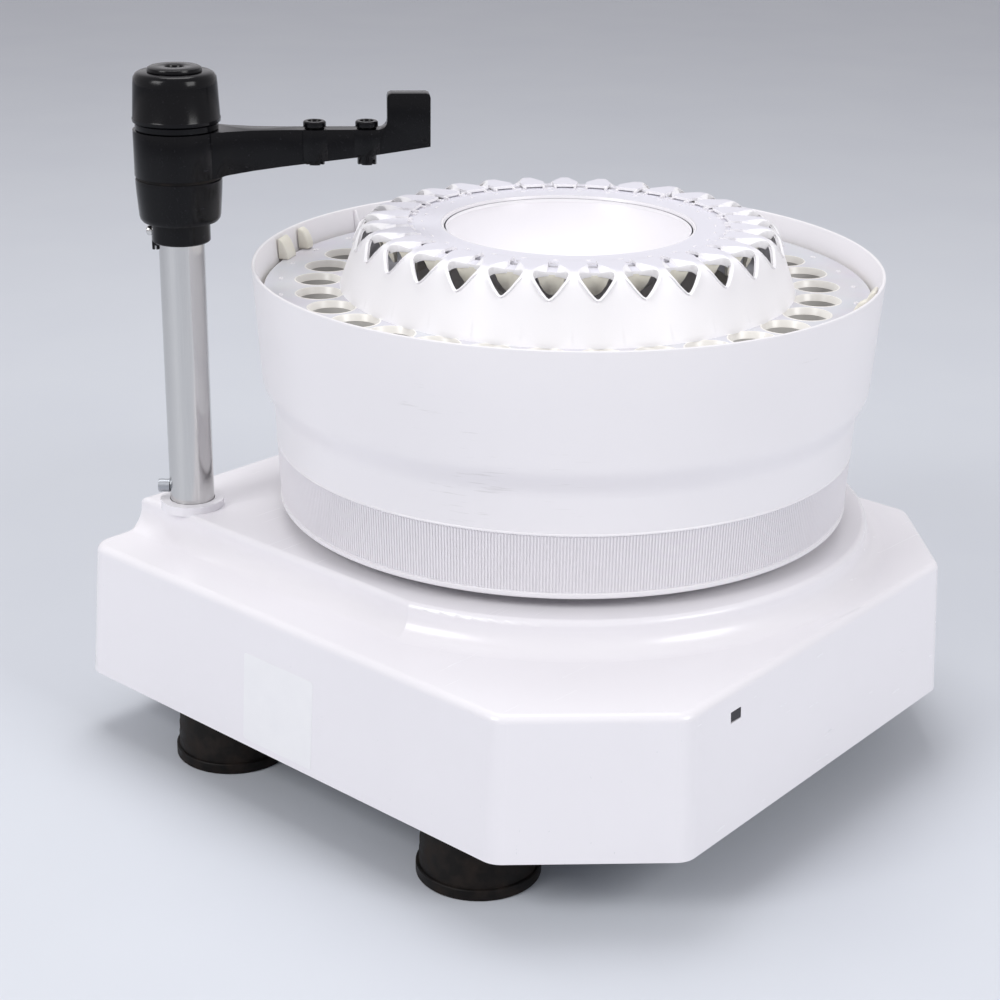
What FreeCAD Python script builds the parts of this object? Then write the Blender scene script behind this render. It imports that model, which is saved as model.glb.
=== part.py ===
import FreeCAD, Part
import math
import os
import re
import Sketcher

# Fraction collector: a white bowl of test-tube stations turns on a low moulded housing,
# and a black arm on a steel post holds the outlet tubing over two rings of tubes.
# Millimetres, +Z up. The origin is on the bench under the middle of the footprint,
# the front face looks along -Y and the post stands at the back left corner.

SIZES = {
    # Housing: reaches are measured from the bowl axis to the foot of each wall.
    "left_reach": 200,
    "right_reach": 158,
    "back_reach": 168,
    "left_corner_y": 133,
    "front_left_x": 136,
    "front_left_y": 197,
    "front_right_x": 101,
    "front_right_y": 183,
    "right_corner_y": 126,
    "skirt_z": 33.5,
    "shoulder_z": 107,
    "deck_z": 123,
    "deck_radius": 165,
    "deck_left": 160,
    "housing_wall": 3,
    "housing_draft": 3,
    "wall_corner": 12,
    "cove_radius": 11,
    "deck_edge": 3,
    "shoulder_edge": 4,
    "corner_clip": 6,
    "collar_radius": 17,
    "collar_z": 127,
    "boss_radius": 7,
    # Base plate and feet.
    "base_plate_thick": 3,
    "base_plate_gap": 0.5,
    "foot_radius": 30.5,
    "foot_inset_x": 35,
    "foot_front_y": 93,
    "foot_back_y": 87,
    "foot_lip_height": 6,
    "foot_groove": 1.5,
    "foot_taper": 1.5,
    "foot_recess_radius": 9,
    "foot_web": 8,
    "screw_radius": 2.5,
    "screw_head_radius": 4.5,
    "screw_head_height": 3,
    # Bowl, heights from the bottom edge of its drum.
    "drum_z": 129,
    "rim_radius": 165,
    "bowl_height": 127.7,
    "swell_radius": 161,
    "swell_z": 70,
    "waist_radius": 154.9,
    "waist_z": 52,
    "drum_radius": 152.1,
    "bowl_wall": 3,
    "floor_z": 6,
    "floor_thick": 3,
    "ledge_width": 3.5,
    "ledge_height": 4,
    "ledge_thick": 2,
    # Tube stations.
    "stations": 30,
    "tube_ring": 131,
    "tube_hole": 18.5,
    "inner_ring": 104.6,
    "inner_hole": 13.8,
    "tray_drop": 17.7,
    "tray_thick": 5,
    "tray_gap": 1.3,
    "tray_bore": 88,
    "tray_funnel": 2.9,
    "guide_z": 45,
    "guide_thick": 3,
    "guide_gap": 0.7,
    "mat_bore": 92,
    "mat_thick": 2,
    # Crown, dish and centre column, heights from the top of the tray.
    "crown_foot_radius": 119.6,
    "crown_shoulder_radius": 109.25,
    "crown_shoulder_rise": 28.1,
    "crown_bend": 9,
    "crown_top_radius": 100.8,
    "crown_top_rise": 34,
    "crown_step_radius": 84,
    "crown_ring_rise": 31.8,
    "crown_wall": 2.5,
    "crown_window_width": 15.6,
    "window_sill": 3,
    "cradle_inner": 90,
    "cradle_outer": 101.5,
    "cradle_rise": 9,
    "dish_radius": 66.5,
    "dish_rim": 3,
    "dish_seat": 1.5,
    "dish_floor_radius": 24,
    "dish_deep": 34.8,
    "dish_wall": 2.5,
    "dish_bend": 62,
    "column_radius": 22,
    "column_wall": 3,
    "column_foot_radius": 34,
    "column_foot_thick": 4,
    "column_collar": 3,
    "latch_width": 12,
    "latch_deep": 4.5,
    "latch_height": 11.5,
    # Turntable and drive.
    "turntable_radius": 130,
    "turntable_thick": 5.2,
    "spigot_radius": 17,
    "spigot_height": 10,
    "slip_gap": 0.3,
    "hub_radius": 26,
    "spindle_clear": 4,
    "spindle_radius": 10,
    "spindle_foot_z": 41,
    "drive_pins": 3,
    "drive_pin_ring": 70,
    "drive_pin_radius": 4,
    "drive_pin_height": 12,
    "bearing_radius": 21,
    "bearing_width": 12,
    "lower_bearing_z": 46,
    "upper_bearing_z": 78,
    "block_radius": 27,
    "block_top_z": 92,
    "block_flange_radius": 46,
    "block_flange_thick": 6,
    "pulley_z": 97,
    "pulley_width": 11,
    "pulley_radius": 50,
    "pulley_rim": 2,
    "pulley_flange": 0.8,
    "pulley_hub": 6,
    "pulley_web": 3,
    "motor_pulley_radius": 10,
    "motor_x": 88,
    "motor_y": 62,
    "motor_side": 56,
    "motor_height": 48,
    "motor_top_z": 90,
    "motor_shaft_radius": 3.2,
    "bracket_thick": 3,
    "bracket_side": 72,
    "belt_thick": 1.6,
    "belt_width": 9,
    "encoder_radius": 60,
    "encoder_thick": 1.2,
    "encoder_slot_width": 3,
    "encoder_slot_deep": 6,
    # Post.
    "post_x": 147,
    "post_y": 136,
    "post_radius": 11.75,
    "post_wall": 1.5,
    "post_top_z": 329,
    "post_foot_z": 42,
    "socket_radius": 16,
    "socket_flange": 24,
    "post_screw_radius": 3.5,
    "post_screw_z": 133.5,
    "post_screw_length": 6,
    # Dispenser head, heights above the drum's bottom edge as for the bowl.
    "grip_z": 139.4,
    "grip_radius": 15,
    "cup_z": 150,
    "cup_top_z": 172.5,
    "cup_radius": 23,
    "cup_foot_radius": 21.3,
    "cup_edge": 3,
    "hub_z": 174,
    "hub_top_z": 197.2,
    "arm_hub_radius": 23,
    "neck_radius": 21.4,
    "knob_z": 201,
    "knob_top_z": 226,
    "knob_radius": 23.1,
    "knob_top_radius": 21.6,
    "knob_edge": 3,
    "knob_skin": 4,
    "cap_radius": 14.7,
    "cap_height": 2.6,
    "cap_dimple": 5.4,
    "cap_dimple_deep": 1.6,
    "sleeve_radius": 15,
    "sleeve_top_z": 214,
    "clamp_screw_radius": 2,
    "clamp_head_radius": 3.6,
    "clamp_head_length": 4,
    "clamp_screw_z": 144.5,
    "clamp_ear_length": 4,
    "clamp_ear_width": 9,
    "clamp_tab_drop": 5,
    # Dispenser arm, lengths measured out from the post axis.
    "arm_length": 128,
    "arm_tip_z": 188.3,
    "arm_root_width": 41,
    "arm_root_reach": 9,
    "arm_width": 9,
    "arm_taper_reach": 62,
    "flag_reach": 106,
    "flag_z": 215.4,
    "flag_foot": 4.2,
    "flag_corner": 3,
    "holder_boss_radius": 7,
    "holder_top_z": 202,
    "holder_foot_z": 179,
    "holder_radius": 4.8,
    "holder_head_radius": 5.8,
    "holder_bore": 2.2,
    # Electrical pieces.
    "board_length": 92,
    "board_width": 74,
    "board_thick": 1.6,
    "board_x": 186,
    "board_y": 12,
    "board_z": 46,
    "standoff_radius": 3,
    "standoff_inset": 5,
    "supply_length": 84,
    "supply_width": 58,
    "supply_height": 38,
    "supply_x": 50,
    "supply_y": 80,
    "inlet_x": 96,
    "inlet_z": 66,
    "inlet_width": 27,
    "inlet_height": 20,
    "inlet_deep": 22,
    "inlet_flange": 3,
    "inlet_plate": 1.5,
    "socket_x": 44,
    "socket_round_radius": 8,
    "window_x": 97,
    "window_z": 93,
    "window_width": 8,
    "window_height": 5,
    "window_deep": 6,
    "sensor_width": 14,
    "sensor_deep": 16,
    "boss_inset": 16,
    "boss_front_left": 110,
    "boss_front_right": 66,
    "boss_pilot": 12,
    "hub_gap": 4,
    "hub_drop": 4,
    "running_gap": 0.05,
    "motor_corner": 4,
    "motor_hole": 14,
    "motor_screw_inset": 5,
    "motor_screw_radius": 1.6,
    "motor_screw_grip": 8,
    "sensor_overlap": 8,
    "sensor_gap": 1.2,
    "sensor_jaw": 3,
    "inlet_sink": 0.6,
    "inlet_wall": 2,
    "inlet_pin_pitch": 7,
    "inlet_pin_length": 12,
    "window_sink": 0.2,
    "arm_root_bend": 90,
    "shoulder_bend": 15,
    "latches": 2,
    "fit_gap": 0.3,
    "holder_gap": 0.1,
    "cut_margin": 5,
    "joint_bite": 1,
    "edge_round": 1,
    "groove_height": 1,
    "base_screw_head": 2,
    "deck_right_trim": 6,
    "front_boss_inset": 22,
    "supply_corner": 2,
    "light_thick": 2,
    "pin_side": 1,
    "clamp_tab_width": 3.5,
    "clamp_tab_gap": 0.5,
    "clamp_tab_thick": 3,
    "knob_foot": 1.5,
    "motor_screw_head": 1.8,
}

# Places that follow from the sizes above.
BOWL_X = "((left_reach - rim_radius) / 2)"
BOWL_Y = "((front_left_y - back_reach) / 2)"
POST_X = "(" + BOWL_X + " - post_x)"
POST_Y = "(" + BOWL_Y + " + post_y)"
MOTOR_X = "(" + BOWL_X + " - motor_x)"
MOTOR_Y = "(" + BOWL_Y + " - motor_y)"
BASE_Z = "(skirt_z + 1)"
BASE_TOP = "(skirt_z + 1 + base_plate_thick)"
FLOOR_TOP = "(floor_z + floor_thick)"
TRAY_Z = "(bowl_height - tray_drop)"
TRAY_TOP = "(bowl_height - tray_drop + tray_thick)"
WALL_RISE = "((rim_radius - swell_radius) / (bowl_height - swell_z))"
WALL_AT_TRAY = "(swell_radius + (" + TRAY_Z + " - swell_z) * " + WALL_RISE + " - bowl_wall)"
WALL_ABOVE_TRAY = "(swell_radius + (" + TRAY_TOP + " - swell_z) * " + WALL_RISE + " - bowl_wall)"
TRAY_RADIUS = "(" + WALL_AT_TRAY + " - tray_gap)"
RING_Z = "(" + TRAY_TOP + " + crown_ring_rise)"
CROWN_TOP = "(" + TRAY_TOP + " + crown_top_rise)"
DISH_FLOOR = "(" + RING_Z + " - dish_deep)"
ORIGIN = ("0", "0", "0")
BOWL = (BOWL_X, BOWL_Y, "drum_z")
POST = (POST_X, POST_Y, "drum_z")
BENCH_UNDER_BOWL = (BOWL_X, BOWL_Y, "0")

# The arm at rest points from the post at the bowl's axis.
ARM_ANGLE = math.degrees(math.atan2(-SIZES["post_y"], SIZES["post_x"]))
# The post's screw and the clamp's screw both face away from the bowl.
SCREW_ANGLE = 132
# One of the tray latches stands in view at the back left of the bowl.
LATCH_ANGLE = 117

os.makedirs("parts", exist_ok=True)
doc = FreeCAD.newDocument("FractionCollector")
sheet = doc.addObject("Spreadsheet::Sheet", "Dims")
for row, (word, size) in enumerate(SIZES.items(), start=1):
    sheet.set("A%d" % row, word)
    sheet.set("B%d" % row, str(size))
    sheet.setAlias("B%d" % row, word)
doc.recompute()

nodes = {}


def sized(text):
    """Turn the plain size words of a formula into references to the sheet."""
    return re.sub(r"[a-z_]+", lambda word: "Dims." + word.group()
                  if word.group() in SIZES else word.group(), text)


def number(text):
    """Work a formula out with the sheet's present sizes."""
    result = sheet.evalExpression(sized(text).replace("Dims.", ""))
    return float(getattr(result, "Value", result))


def bind(item, prop, text):
    item.setExpression(prop, sized(text))


def place(item, spot, turn=None):
    """Put an item at a spot given as formulas, after an optional rotation."""
    if turn is not None:
        item.Placement = FreeCAD.Placement(FreeCAD.Vector(), turn)
    for axis, text in zip("xyz", spot):
        bind(item, "Placement.Base." + axis, text)


def spin(angle):
    """A rotation about the upright axis."""
    return FreeCAD.Rotation(FreeCAD.Vector(0, 0, 1), angle)


def keep(name, item):
    """Record an item as a sub-part under its node name."""
    item.Label = name
    nodes[name] = item
    return item


def new_body(name, spot=ORIGIN, turn=None):
    body = doc.addObject("PartDesign::Body", name + "_body")
    body.AllowCompound = True
    place(body, spot, turn)
    return body


def origin_item(body, role):
    for item in body.Origin.OriginFeatures:
        if item.Role == role:
            return item


def new_sketch(body, role="XY_Plane", lift="0"):
    sketch = body.newObject("Sketcher::SketchObject", "Sketch")
    sketch.AttachmentSupport = [(origin_item(body, role), "")]
    sketch.MapMode = "FlatFace"
    bind(sketch, "AttachmentOffset.Base.z", lift)
    return sketch


def fix_point(sketch, edge, end, spot):
    """Hold one end of an edge at a spot given as two formulas."""
    for text, kind, axis in ((spot[0], "DistanceX", -2), (spot[1], "DistanceY", -1)):
        if text == "0":
            sketch.addConstraint(Sketcher.Constraint("PointOnObject", edge, end, axis))
        else:
            index = sketch.addConstraint(
                Sketcher.Constraint(kind, -1, 1, edge, end, number(text)))
            bind(sketch, "Constraints[%d]" % index, text)


def arc_edge(start, stop, radius):
    """An arc between two points: left of the chord for a positive radius, else right."""
    a, b = FreeCAD.Vector(*start, 0), FreeCAD.Vector(*stop, 0)
    chord = b - a
    half = chord.Length / 2
    size = abs(radius)
    rise = size - math.sqrt(max(size * size - half * half, 0))
    side = FreeCAD.Vector(-chord.y, chord.x, 0).normalize()
    middle = (a + b) * 0.5 + side * (rise if radius > 0 else -rise)
    return Part.Arc(a, middle, b)


def outline(sketch, corners):
    """Draw a closed outline. A corner is (x, y), or (x, y, radius) where the edge that
    leaves it is an arc, bulging left of its chord unless the radius starts with -."""
    spots = [(number(corner[0]), number(corner[1])) for corner in corners]
    ends = []
    for index, corner in enumerate(corners):
        start, stop = spots[index], spots[(index + 1) % len(spots)]
        if len(corner) == 3:
            sketch.addGeometry(arc_edge(start, stop, number(corner[2])), False)
            ends.append((1, 2) if corner[2].startswith("-") else (2, 1))
        else:
            sketch.addGeometry(Part.LineSegment(FreeCAD.Vector(*start, 0),
                                                FreeCAD.Vector(*stop, 0)), False)
            ends.append((1, 2))
    first = sketch.GeometryCount - len(corners)
    for index, corner in enumerate(corners):
        after = (index + 1) % len(corners)
        sketch.addConstraint(Sketcher.Constraint(
            "Coincident", first + index, ends[index][1], first + after, ends[after][0]))
        fix_point(sketch, first + index, ends[index][0], corner)
    for index, corner in enumerate(corners):
        if len(corner) == 3:
            mark = sketch.addConstraint(Sketcher.Constraint(
                "Radius", first + index, abs(number(corner[2]))))
            bind(sketch, "Constraints[%d]" % mark, corner[2].lstrip("-"))


def circles(sketch, spots, radius):
    """Draw circles of one radius, each centred at a pair of formulas."""
    for spot in spots:
        centre = FreeCAD.Vector(number(spot[0]), number(spot[1]), 0)
        edge = sketch.addGeometry(
            Part.Circle(centre, FreeCAD.Vector(0, 0, 1), number(radius)), False)
        fix_point(sketch, edge, 3, spot)
        mark = sketch.addConstraint(Sketcher.Constraint("Radius", edge, number(radius)))
        bind(sketch, "Constraints[%d]" % mark, radius)


def pad(body, corners, low, height, draft=None):
    """Add a block that stands on the height low and rises by height."""
    sketch = new_sketch(body, lift=low)
    outline(sketch, corners)
    feature = body.newObject("PartDesign::Pad", "Pad")
    feature.Profile = sketch
    bind(feature, "Length", height)
    if draft:
        bind(feature, "TaperAngle", draft)
    return feature


def pocket(body, corners, low, height, draft=None):
    """Cut a block upwards from the height low."""
    sketch = new_sketch(body, lift=low)
    outline(sketch, corners)
    feature = body.newObject("PartDesign::Pocket", "Pocket")
    feature.Profile = sketch
    feature.Reversed = True
    bind(feature, "Length", height)
    if draft:
        bind(feature, "TaperAngle", draft)
    return feature


def round_pad(body, spots, radius, low, height):
    sketch = new_sketch(body, lift=low)
    circles(sketch, spots, radius)
    feature = body.newObject("PartDesign::Pad", "Pad")
    feature.Profile = sketch
    bind(feature, "Length", height)
    return feature


def drill(body, spots, radius, low, height):
    """Cut round holes upwards from the height low."""
    sketch = new_sketch(body, lift=low)
    circles(sketch, spots, radius)
    feature = body.newObject("PartDesign::Pocket", "Pocket")
    feature.Profile = sketch
    feature.Reversed = True
    bind(feature, "Length", height)
    return feature


def around(body, feature, count):
    """Repeat a feature about the body's upright axis."""
    pattern = body.newObject("PartDesign::PolarPattern", "PolarPattern")
    pattern.Originals = [feature]
    pattern.Axis = (origin_item(body, "Z_Axis"), [""])
    pattern.Angle = 360
    bind(pattern, "Occurrences", count)
    body.Tip = pattern
    return pattern


def turn(body, profile):
    """Spin a profile of radii and heights about the body's upright axis."""
    sketch = new_sketch(body, "XZ_Plane")
    outline(sketch, profile)
    feature = body.newObject("PartDesign::Revolution", "Revolution")
    feature.Profile = sketch
    feature.ReferenceAxis = (sketch, ["V_Axis"])
    feature.Angle = 360
    return feature


def turned(name, profile, spot=ORIGIN, rotation=None):
    """A sub-part that is one turned form."""
    body = new_body(name, spot, rotation)
    turn(body, profile)
    return keep(name, body)


def ring(inner, outer, low, high):
    """The profile of a plain ring."""
    return [(inner, low), (outer, low), (outer, high), (inner, high)]


def rectangle(x_low, y_low, x_high, y_high):
    return [(x_low, y_low), (x_high, y_low), (x_high, y_high), (x_low, y_high)]


def round_edges(body, feature, radius, test):
    """Fillet the edges of a feature that pass a test on the edge."""
    doc.recompute()
    names = ["Edge%d" % (index + 1) for index, edge in enumerate(feature.Shape.Edges)
             if test(edge)]
    fillet = body.newObject("PartDesign::Fillet", "Fillet")
    fillet.Base = (feature, names)
    bind(fillet, "Radius", radius)
    return fillet


def bevel_edges(body, feature, size, test):
    """Cut a flat slope on the edges of a feature that pass a test on the edge."""
    doc.recompute()
    names = ["Edge%d" % (index + 1) for index, edge in enumerate(feature.Shape.Edges)
             if test(edge)]
    chamfer = body.newObject("PartDesign::Chamfer", "Chamfer")
    chamfer.Base = (feature, names)
    bind(chamfer, "Size", size)
    return chamfer


def at_height(edge, text, slack=0.01):
    """True for an edge that lies all at one height."""
    box = edge.BoundBox
    return abs(box.ZMin - number(text)) < slack and abs(box.ZMax - number(text)) < slack


def copies(name, spots, profile):
    """A node of like turned pieces, each a separate solid."""
    bodies = []
    for spot in spots:
        body = new_body(name, spot)
        turn(body, profile)
        bodies.append(body)
    group = doc.addObject("Part::Compound", name)
    group.Links = bodies
    return keep(name, group)


def housing_outline(inset, clip="0"):
    """The housing's plan, each wall moved inwards by inset, with its two square
    corners cut off by clip where that isn't zero."""
    slope = "0.414 * (" + inset + ")"
    left = "-(left_reach - (%s))" % inset
    right = "(right_reach - (%s))" % inset
    back = "(back_reach - (%s))" % inset
    if clip == "0":
        ends = [(right, back), (left, back)]
    else:
        ends = [(right, back + " - " + clip), (right + " - " + clip, back),
                (left + " + " + clip, back), (left, back + " - " + clip)]
    return ends + [
        (left, "-(left_corner_y - %s)" % slope),
        ("-(front_left_x - %s)" % slope, "-(front_left_y - (%s))" % inset),
        ("front_right_x - %s" % slope, "-(front_right_y - (%s))" % inset),
        (right, "-(right_corner_y - %s)" % slope),
    ]


def deck_outline(inset, right, back):
    """The raised deck's plan: an arc about the bowl, straight on the left."""
    radius = "(deck_radius - (%s))" % inset
    left = "(deck_left - (%s))" % inset
    return [
        ("-" + left, back),
        ("-" + left, "-sqrt(%s ^ 2 - %s ^ 2)" % (radius, left), "-" + radius),
        (right, "-sqrt(%s ^ 2 - (%s) ^ 2)" % (radius, right)),
        (right, back),
    ]


DECK_RUN = "((deck_z - skirt_z) * tan(housing_draft))"
RIGHT_INSIDE = "(right_reach - housing_wall - " + DECK_RUN + ")"
BACK_INSIDE = "(back_reach - housing_wall - " + DECK_RUN + ")"
FRONT_Z_SHIFT = "((window_z - skirt_z) * tan(housing_draft))"
FEET = [(x, y) for x in ("-(left_reach - foot_inset_x)", "(right_reach - foot_inset_x)")
        for y in ("-foot_front_y", "foot_back_y")]
DECK_SCREWS = [
    ("(right_reach - boss_inset)", "(back_reach - boss_inset)"),
    ("(right_reach - boss_inset)", "0"),
]
SHOULDER_SCREWS = [
    ("-(left_reach - boss_inset)", "(back_reach - boss_inset)"),
    ("-(left_reach - boss_inset)", "0"),
    ("-boss_front_left", "-(front_left_y - front_boss_inset)"),
    ("boss_front_right", "-(front_right_y - front_boss_inset)"),
]
BASE_SCREWS = DECK_SCREWS + SHOULDER_SCREWS
MOTOR_SCREWS = [(sx + "(motor_side / 2 - motor_screw_inset)",
                 sy + "(motor_side / 2 - motor_screw_inset)")
                for sx in ("", "-") for sy in ("", "-")]
TURNTABLE_TOP = "(floor_z - slip_gap)"
ARM_SPAN = "sqrt(post_x ^ 2 + post_y ^ 2)"
OUTER_HOLDER = "(" + ARM_SPAN + " - tube_ring)"
INNER_HOLDER = "(" + ARM_SPAN + " - inner_ring)"
ARM_HUB_FOOT = "(hub_z + slip_gap)"
SLEEVE_BORE = "(post_radius + slip_gap)"
HUB_BORE = "(sleeve_radius + slip_gap)"


def on_bowl(spot, height="0"):
    """A spot given from the bowl's axis, in the part's own frame."""
    return (BOWL_X + " + (%s)" % spot[0], BOWL_Y + " + (%s)" % spot[1], height)


def make_housing_shell():
    """The moulded casing: drafted walls, a raised deck with a cove, and a post collar."""
    body = new_body("housing_shell", BENCH_UNDER_BOWL)
    block = pad(body, housing_outline("0"), "skirt_z", "deck_z - skirt_z",
                "-housing_draft")
    round_edges(body, block, "wall_corner", lambda edge: edge.BoundBox.ZLength > 1)
    sketch = new_sketch(body, lift="deck_z")
    margin = "(left_reach + front_left_y)"
    outline(sketch, deck_outline("0", "(deck_radius - deck_right_trim)",
                                 "(back_reach + cut_margin)"))
    outline(sketch, rectangle("-" + margin, "-" + margin, margin, margin))
    step = body.newObject("PartDesign::Pocket", "Pocket")
    step.Profile = sketch
    bind(step, "Length", "deck_z - shoulder_z")
    deck_line = -number("deck_left")
    deck_round = number("deck_radius")

    def on_deck_line(edge):
        middle = edge.valueAt((edge.FirstParameter + edge.LastParameter) / 2)
        straight = abs(middle.x - deck_line) < 0.01
        return straight or abs(math.hypot(middle.x, middle.y) - deck_round) < 0.01

    def on_wall(edge):
        faces = step.Shape.ancestorsOfType(edge, Part.Face)
        return any(face.BoundBox.ZMin < number("(skirt_z + shoulder_z) / 2") for face in faces)

    shoulder = round_edges(body, step, "shoulder_edge",
                           lambda edge: at_height(edge, "shoulder_z") and on_wall(edge))
    cove = round_edges(body, shoulder, "cove_radius",
                       lambda edge: at_height(edge, "shoulder_z") and on_deck_line(edge))
    round_edges(body, cove, "deck_edge", lambda edge: at_height(edge, "deck_z"))
    round_pad(body, [("-post_x", "post_y")], "collar_radius", "deck_z - joint_bite",
              "collar_z - deck_z + joint_bite")
    pocket(body, housing_outline("housing_wall", "corner_clip"), "skirt_z",
           "shoulder_z - housing_wall - skirt_z", "-housing_draft")
    pocket(body, deck_outline("housing_wall", RIGHT_INSIDE, BACK_INSIDE),
           "shoulder_z - housing_wall - joint_bite", "deck_z - shoulder_z + joint_bite")
    round_pad(body, SHOULDER_SCREWS, "boss_radius", BASE_TOP,
              "shoulder_z - housing_wall + joint_bite - " + BASE_TOP)
    round_pad(body, DECK_SCREWS, "boss_radius", BASE_TOP,
              "deck_z - housing_wall + joint_bite - " + BASE_TOP)
    drill(body, BASE_SCREWS, "screw_radius", BASE_TOP, "boss_pilot")
    drill(body, [("0", "0")], "hub_radius + hub_gap", "shoulder_z",
          "deck_z - shoulder_z + cut_margin")
    drill(body, [("-post_x", "post_y")], "post_radius + fit_gap",
          "shoulder_z - housing_wall - joint_bite",
          "collar_z - shoulder_z + housing_wall + 2 * joint_bite")
    half = "window_width / 2 + fit_gap"
    pocket(body, rectangle("-window_x - (%s)" % half, "-front_left_y - cut_margin",
                           "-window_x + (%s)" % half, "-front_left_y + 3 * cut_margin"),
           "window_z - window_height / 2 - fit_gap", "window_height + 2 * fit_gap")
    half = "inlet_width / 2 + fit_gap"
    pocket(body, rectangle("inlet_x - (%s)" % half, "back_reach - 2 * cut_margin",
                           "inlet_x + (%s)" % half, "back_reach + cut_margin"),
           "inlet_z - inlet_height / 2 - fit_gap", "inlet_height + 2 * fit_gap")
    side = new_sketch(body, "XZ_Plane", "-back_reach - cut_margin")
    circles(side, [("socket_x", "inlet_z")], "socket_round_radius + fit_gap")
    hole = body.newObject("PartDesign::Pocket", "Pocket")
    hole.Profile = side
    hole.Midplane = True
    bind(hole, "Length", "2 * (2 * cut_margin + housing_wall)")
    keep("housing_shell", body)


def make_base_plate():
    """The flat metal floor that closes the housing and carries the drive."""
    body = new_body("base_plate", BENCH_UNDER_BOWL)
    pad(body, housing_outline("housing_wall + base_plate_gap", "corner_clip"), BASE_Z,
        "base_plate_thick")
    drill(body, FEET + BASE_SCREWS, "screw_radius", BASE_Z, "base_plate_thick")
    keep("base_plate", body)


def make_feet():
    """Four tall rubber feet with a lip at the floor, each held by one screw."""
    web = BASE_Z + " - foot_web"
    names = ("foot_front_left", "foot_back_left", "foot_front_right", "foot_back_right")
    for name, spot in zip(names, FEET):
        turned(name, [
            ("foot_recess_radius", "0"),
            ("foot_radius", "0"),
            ("foot_radius", "foot_lip_height"),
            ("foot_radius - foot_groove", "foot_lip_height"),
            ("foot_radius - foot_groove", "foot_lip_height + groove_height"),
            ("foot_radius - foot_groove / 4", "foot_lip_height + groove_height"),
            ("foot_radius - foot_taper", BASE_Z),
            ("screw_radius", BASE_Z),
            ("screw_radius", web),
            ("foot_recess_radius", web),
        ], on_bowl(spot))
    copies("foot_screws", [on_bowl(spot) for spot in FEET], [
        ("0", web + " - screw_head_height"),
        ("screw_head_radius", web + " - screw_head_height"),
        ("screw_head_radius", web),
        ("screw_radius", web),
        ("screw_radius", BASE_TOP),
        ("0", BASE_TOP),
    ])
    copies("base_screws", [on_bowl(spot) for spot in BASE_SCREWS], [
        ("0", BASE_Z + " - base_screw_head"),
        ("screw_head_radius", BASE_Z + " - base_screw_head"),
        ("screw_head_radius", BASE_Z),
        ("screw_radius", BASE_Z),
        ("screw_radius", BASE_TOP + " + boss_pilot"),
        ("0", BASE_TOP + " + boss_pilot"),
    ])


def make_bearing_block():
    """A turned column on the base plate with a ball bearing at each end."""
    turned("bearing_block", [
        ("bearing_radius", BASE_TOP),
        ("block_flange_radius", BASE_TOP),
        ("block_flange_radius", BASE_TOP + " + block_flange_thick"),
        ("block_radius", BASE_TOP + " + block_flange_thick"),
        ("block_radius", "block_top_z"),
        ("bearing_radius", "block_top_z"),
        ("bearing_radius", "upper_bearing_z"),
        ("spindle_radius + spindle_clear", "upper_bearing_z"),
        ("spindle_radius + spindle_clear", "lower_bearing_z + bearing_width"),
        ("bearing_radius", "lower_bearing_z + bearing_width"),
    ], BENCH_UNDER_BOWL)
    for name, low in (("lower_bearing", "lower_bearing_z"),
                      ("upper_bearing", "upper_bearing_z")):
        turned(name, ring("spindle_radius + running_gap", "bearing_radius", low,
                          low + " + bearing_width"), BENCH_UNDER_BOWL)


def make_spindle():
    """Everything on the upright steel spindle below the bowl."""
    hub_foot = "(deck_z - housing_wall - hub_drop)"
    turned("spindle", [
        ("0", "spindle_foot_z"),
        ("spindle_radius", "spindle_foot_z"),
        ("spindle_radius", "drum_z + " + TURNTABLE_TOP + " + spigot_height"),
        ("0", "drum_z + " + TURNTABLE_TOP + " + spigot_height"),
    ], BENCH_UNDER_BOWL)
    pulley_top = "pulley_z + pulley_width"
    inside = "pulley_radius - 2 * pulley_rim"
    hub = "spindle_radius + pulley_hub"
    web_low = "pulley_z + (pulley_width - pulley_web) / 2"
    web_high = "pulley_z + (pulley_width + pulley_web) / 2"
    turned("spindle_pulley", [
        ("spindle_radius", "pulley_z"),
        (hub, "pulley_z"),
        (hub, web_low),
        (inside, web_low),
        (inside, "pulley_z"),
        ("pulley_radius + pulley_rim", "pulley_z"),
        ("pulley_radius + pulley_rim", "pulley_z + pulley_flange"),
        ("pulley_radius", "pulley_z + pulley_flange"),
        ("pulley_radius", pulley_top + " - pulley_flange"),
        ("pulley_radius + pulley_rim", pulley_top + " - pulley_flange"),
        ("pulley_radius + pulley_rim", pulley_top),
        (inside, pulley_top),
        (inside, web_high),
        (hub, web_high),
        (hub, pulley_top),
        ("spindle_radius", pulley_top),
    ], BENCH_UNDER_BOWL)
    body = new_body("encoder_disc", BENCH_UNDER_BOWL)
    low = hub_foot + " - encoder_thick"
    turn(body, ring("spindle_radius", "encoder_radius", low, hub_foot))
    slot = pocket(body, rectangle("encoder_radius - encoder_slot_deep",
                                  "-encoder_slot_width / 2",
                                  "encoder_radius + cut_margin",
                                  "encoder_slot_width / 2"), low, "encoder_thick")
    around(body, slot, "stations")
    keep("encoder_disc", body)
    top = TURNTABLE_TOP
    turned("turntable", [
        ("spindle_radius", hub_foot + " - drum_z"),
        ("hub_radius", hub_foot + " - drum_z"),
        ("hub_radius", top + " - turntable_thick"),
        ("turntable_radius", top + " - turntable_thick"),
        ("turntable_radius", top),
        ("spigot_radius", top),
        ("spigot_radius", top + " + spigot_height"),
        ("spindle_radius", top + " + spigot_height"),
    ], BOWL)
    body = new_body("drive_pins", BOWL)
    pin = round_pad(body, [("drive_pin_ring", "0")], "drive_pin_radius", top,
                    "drive_pin_height")
    around(body, pin, "drive_pins")
    keep("drive_pins", body)


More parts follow.
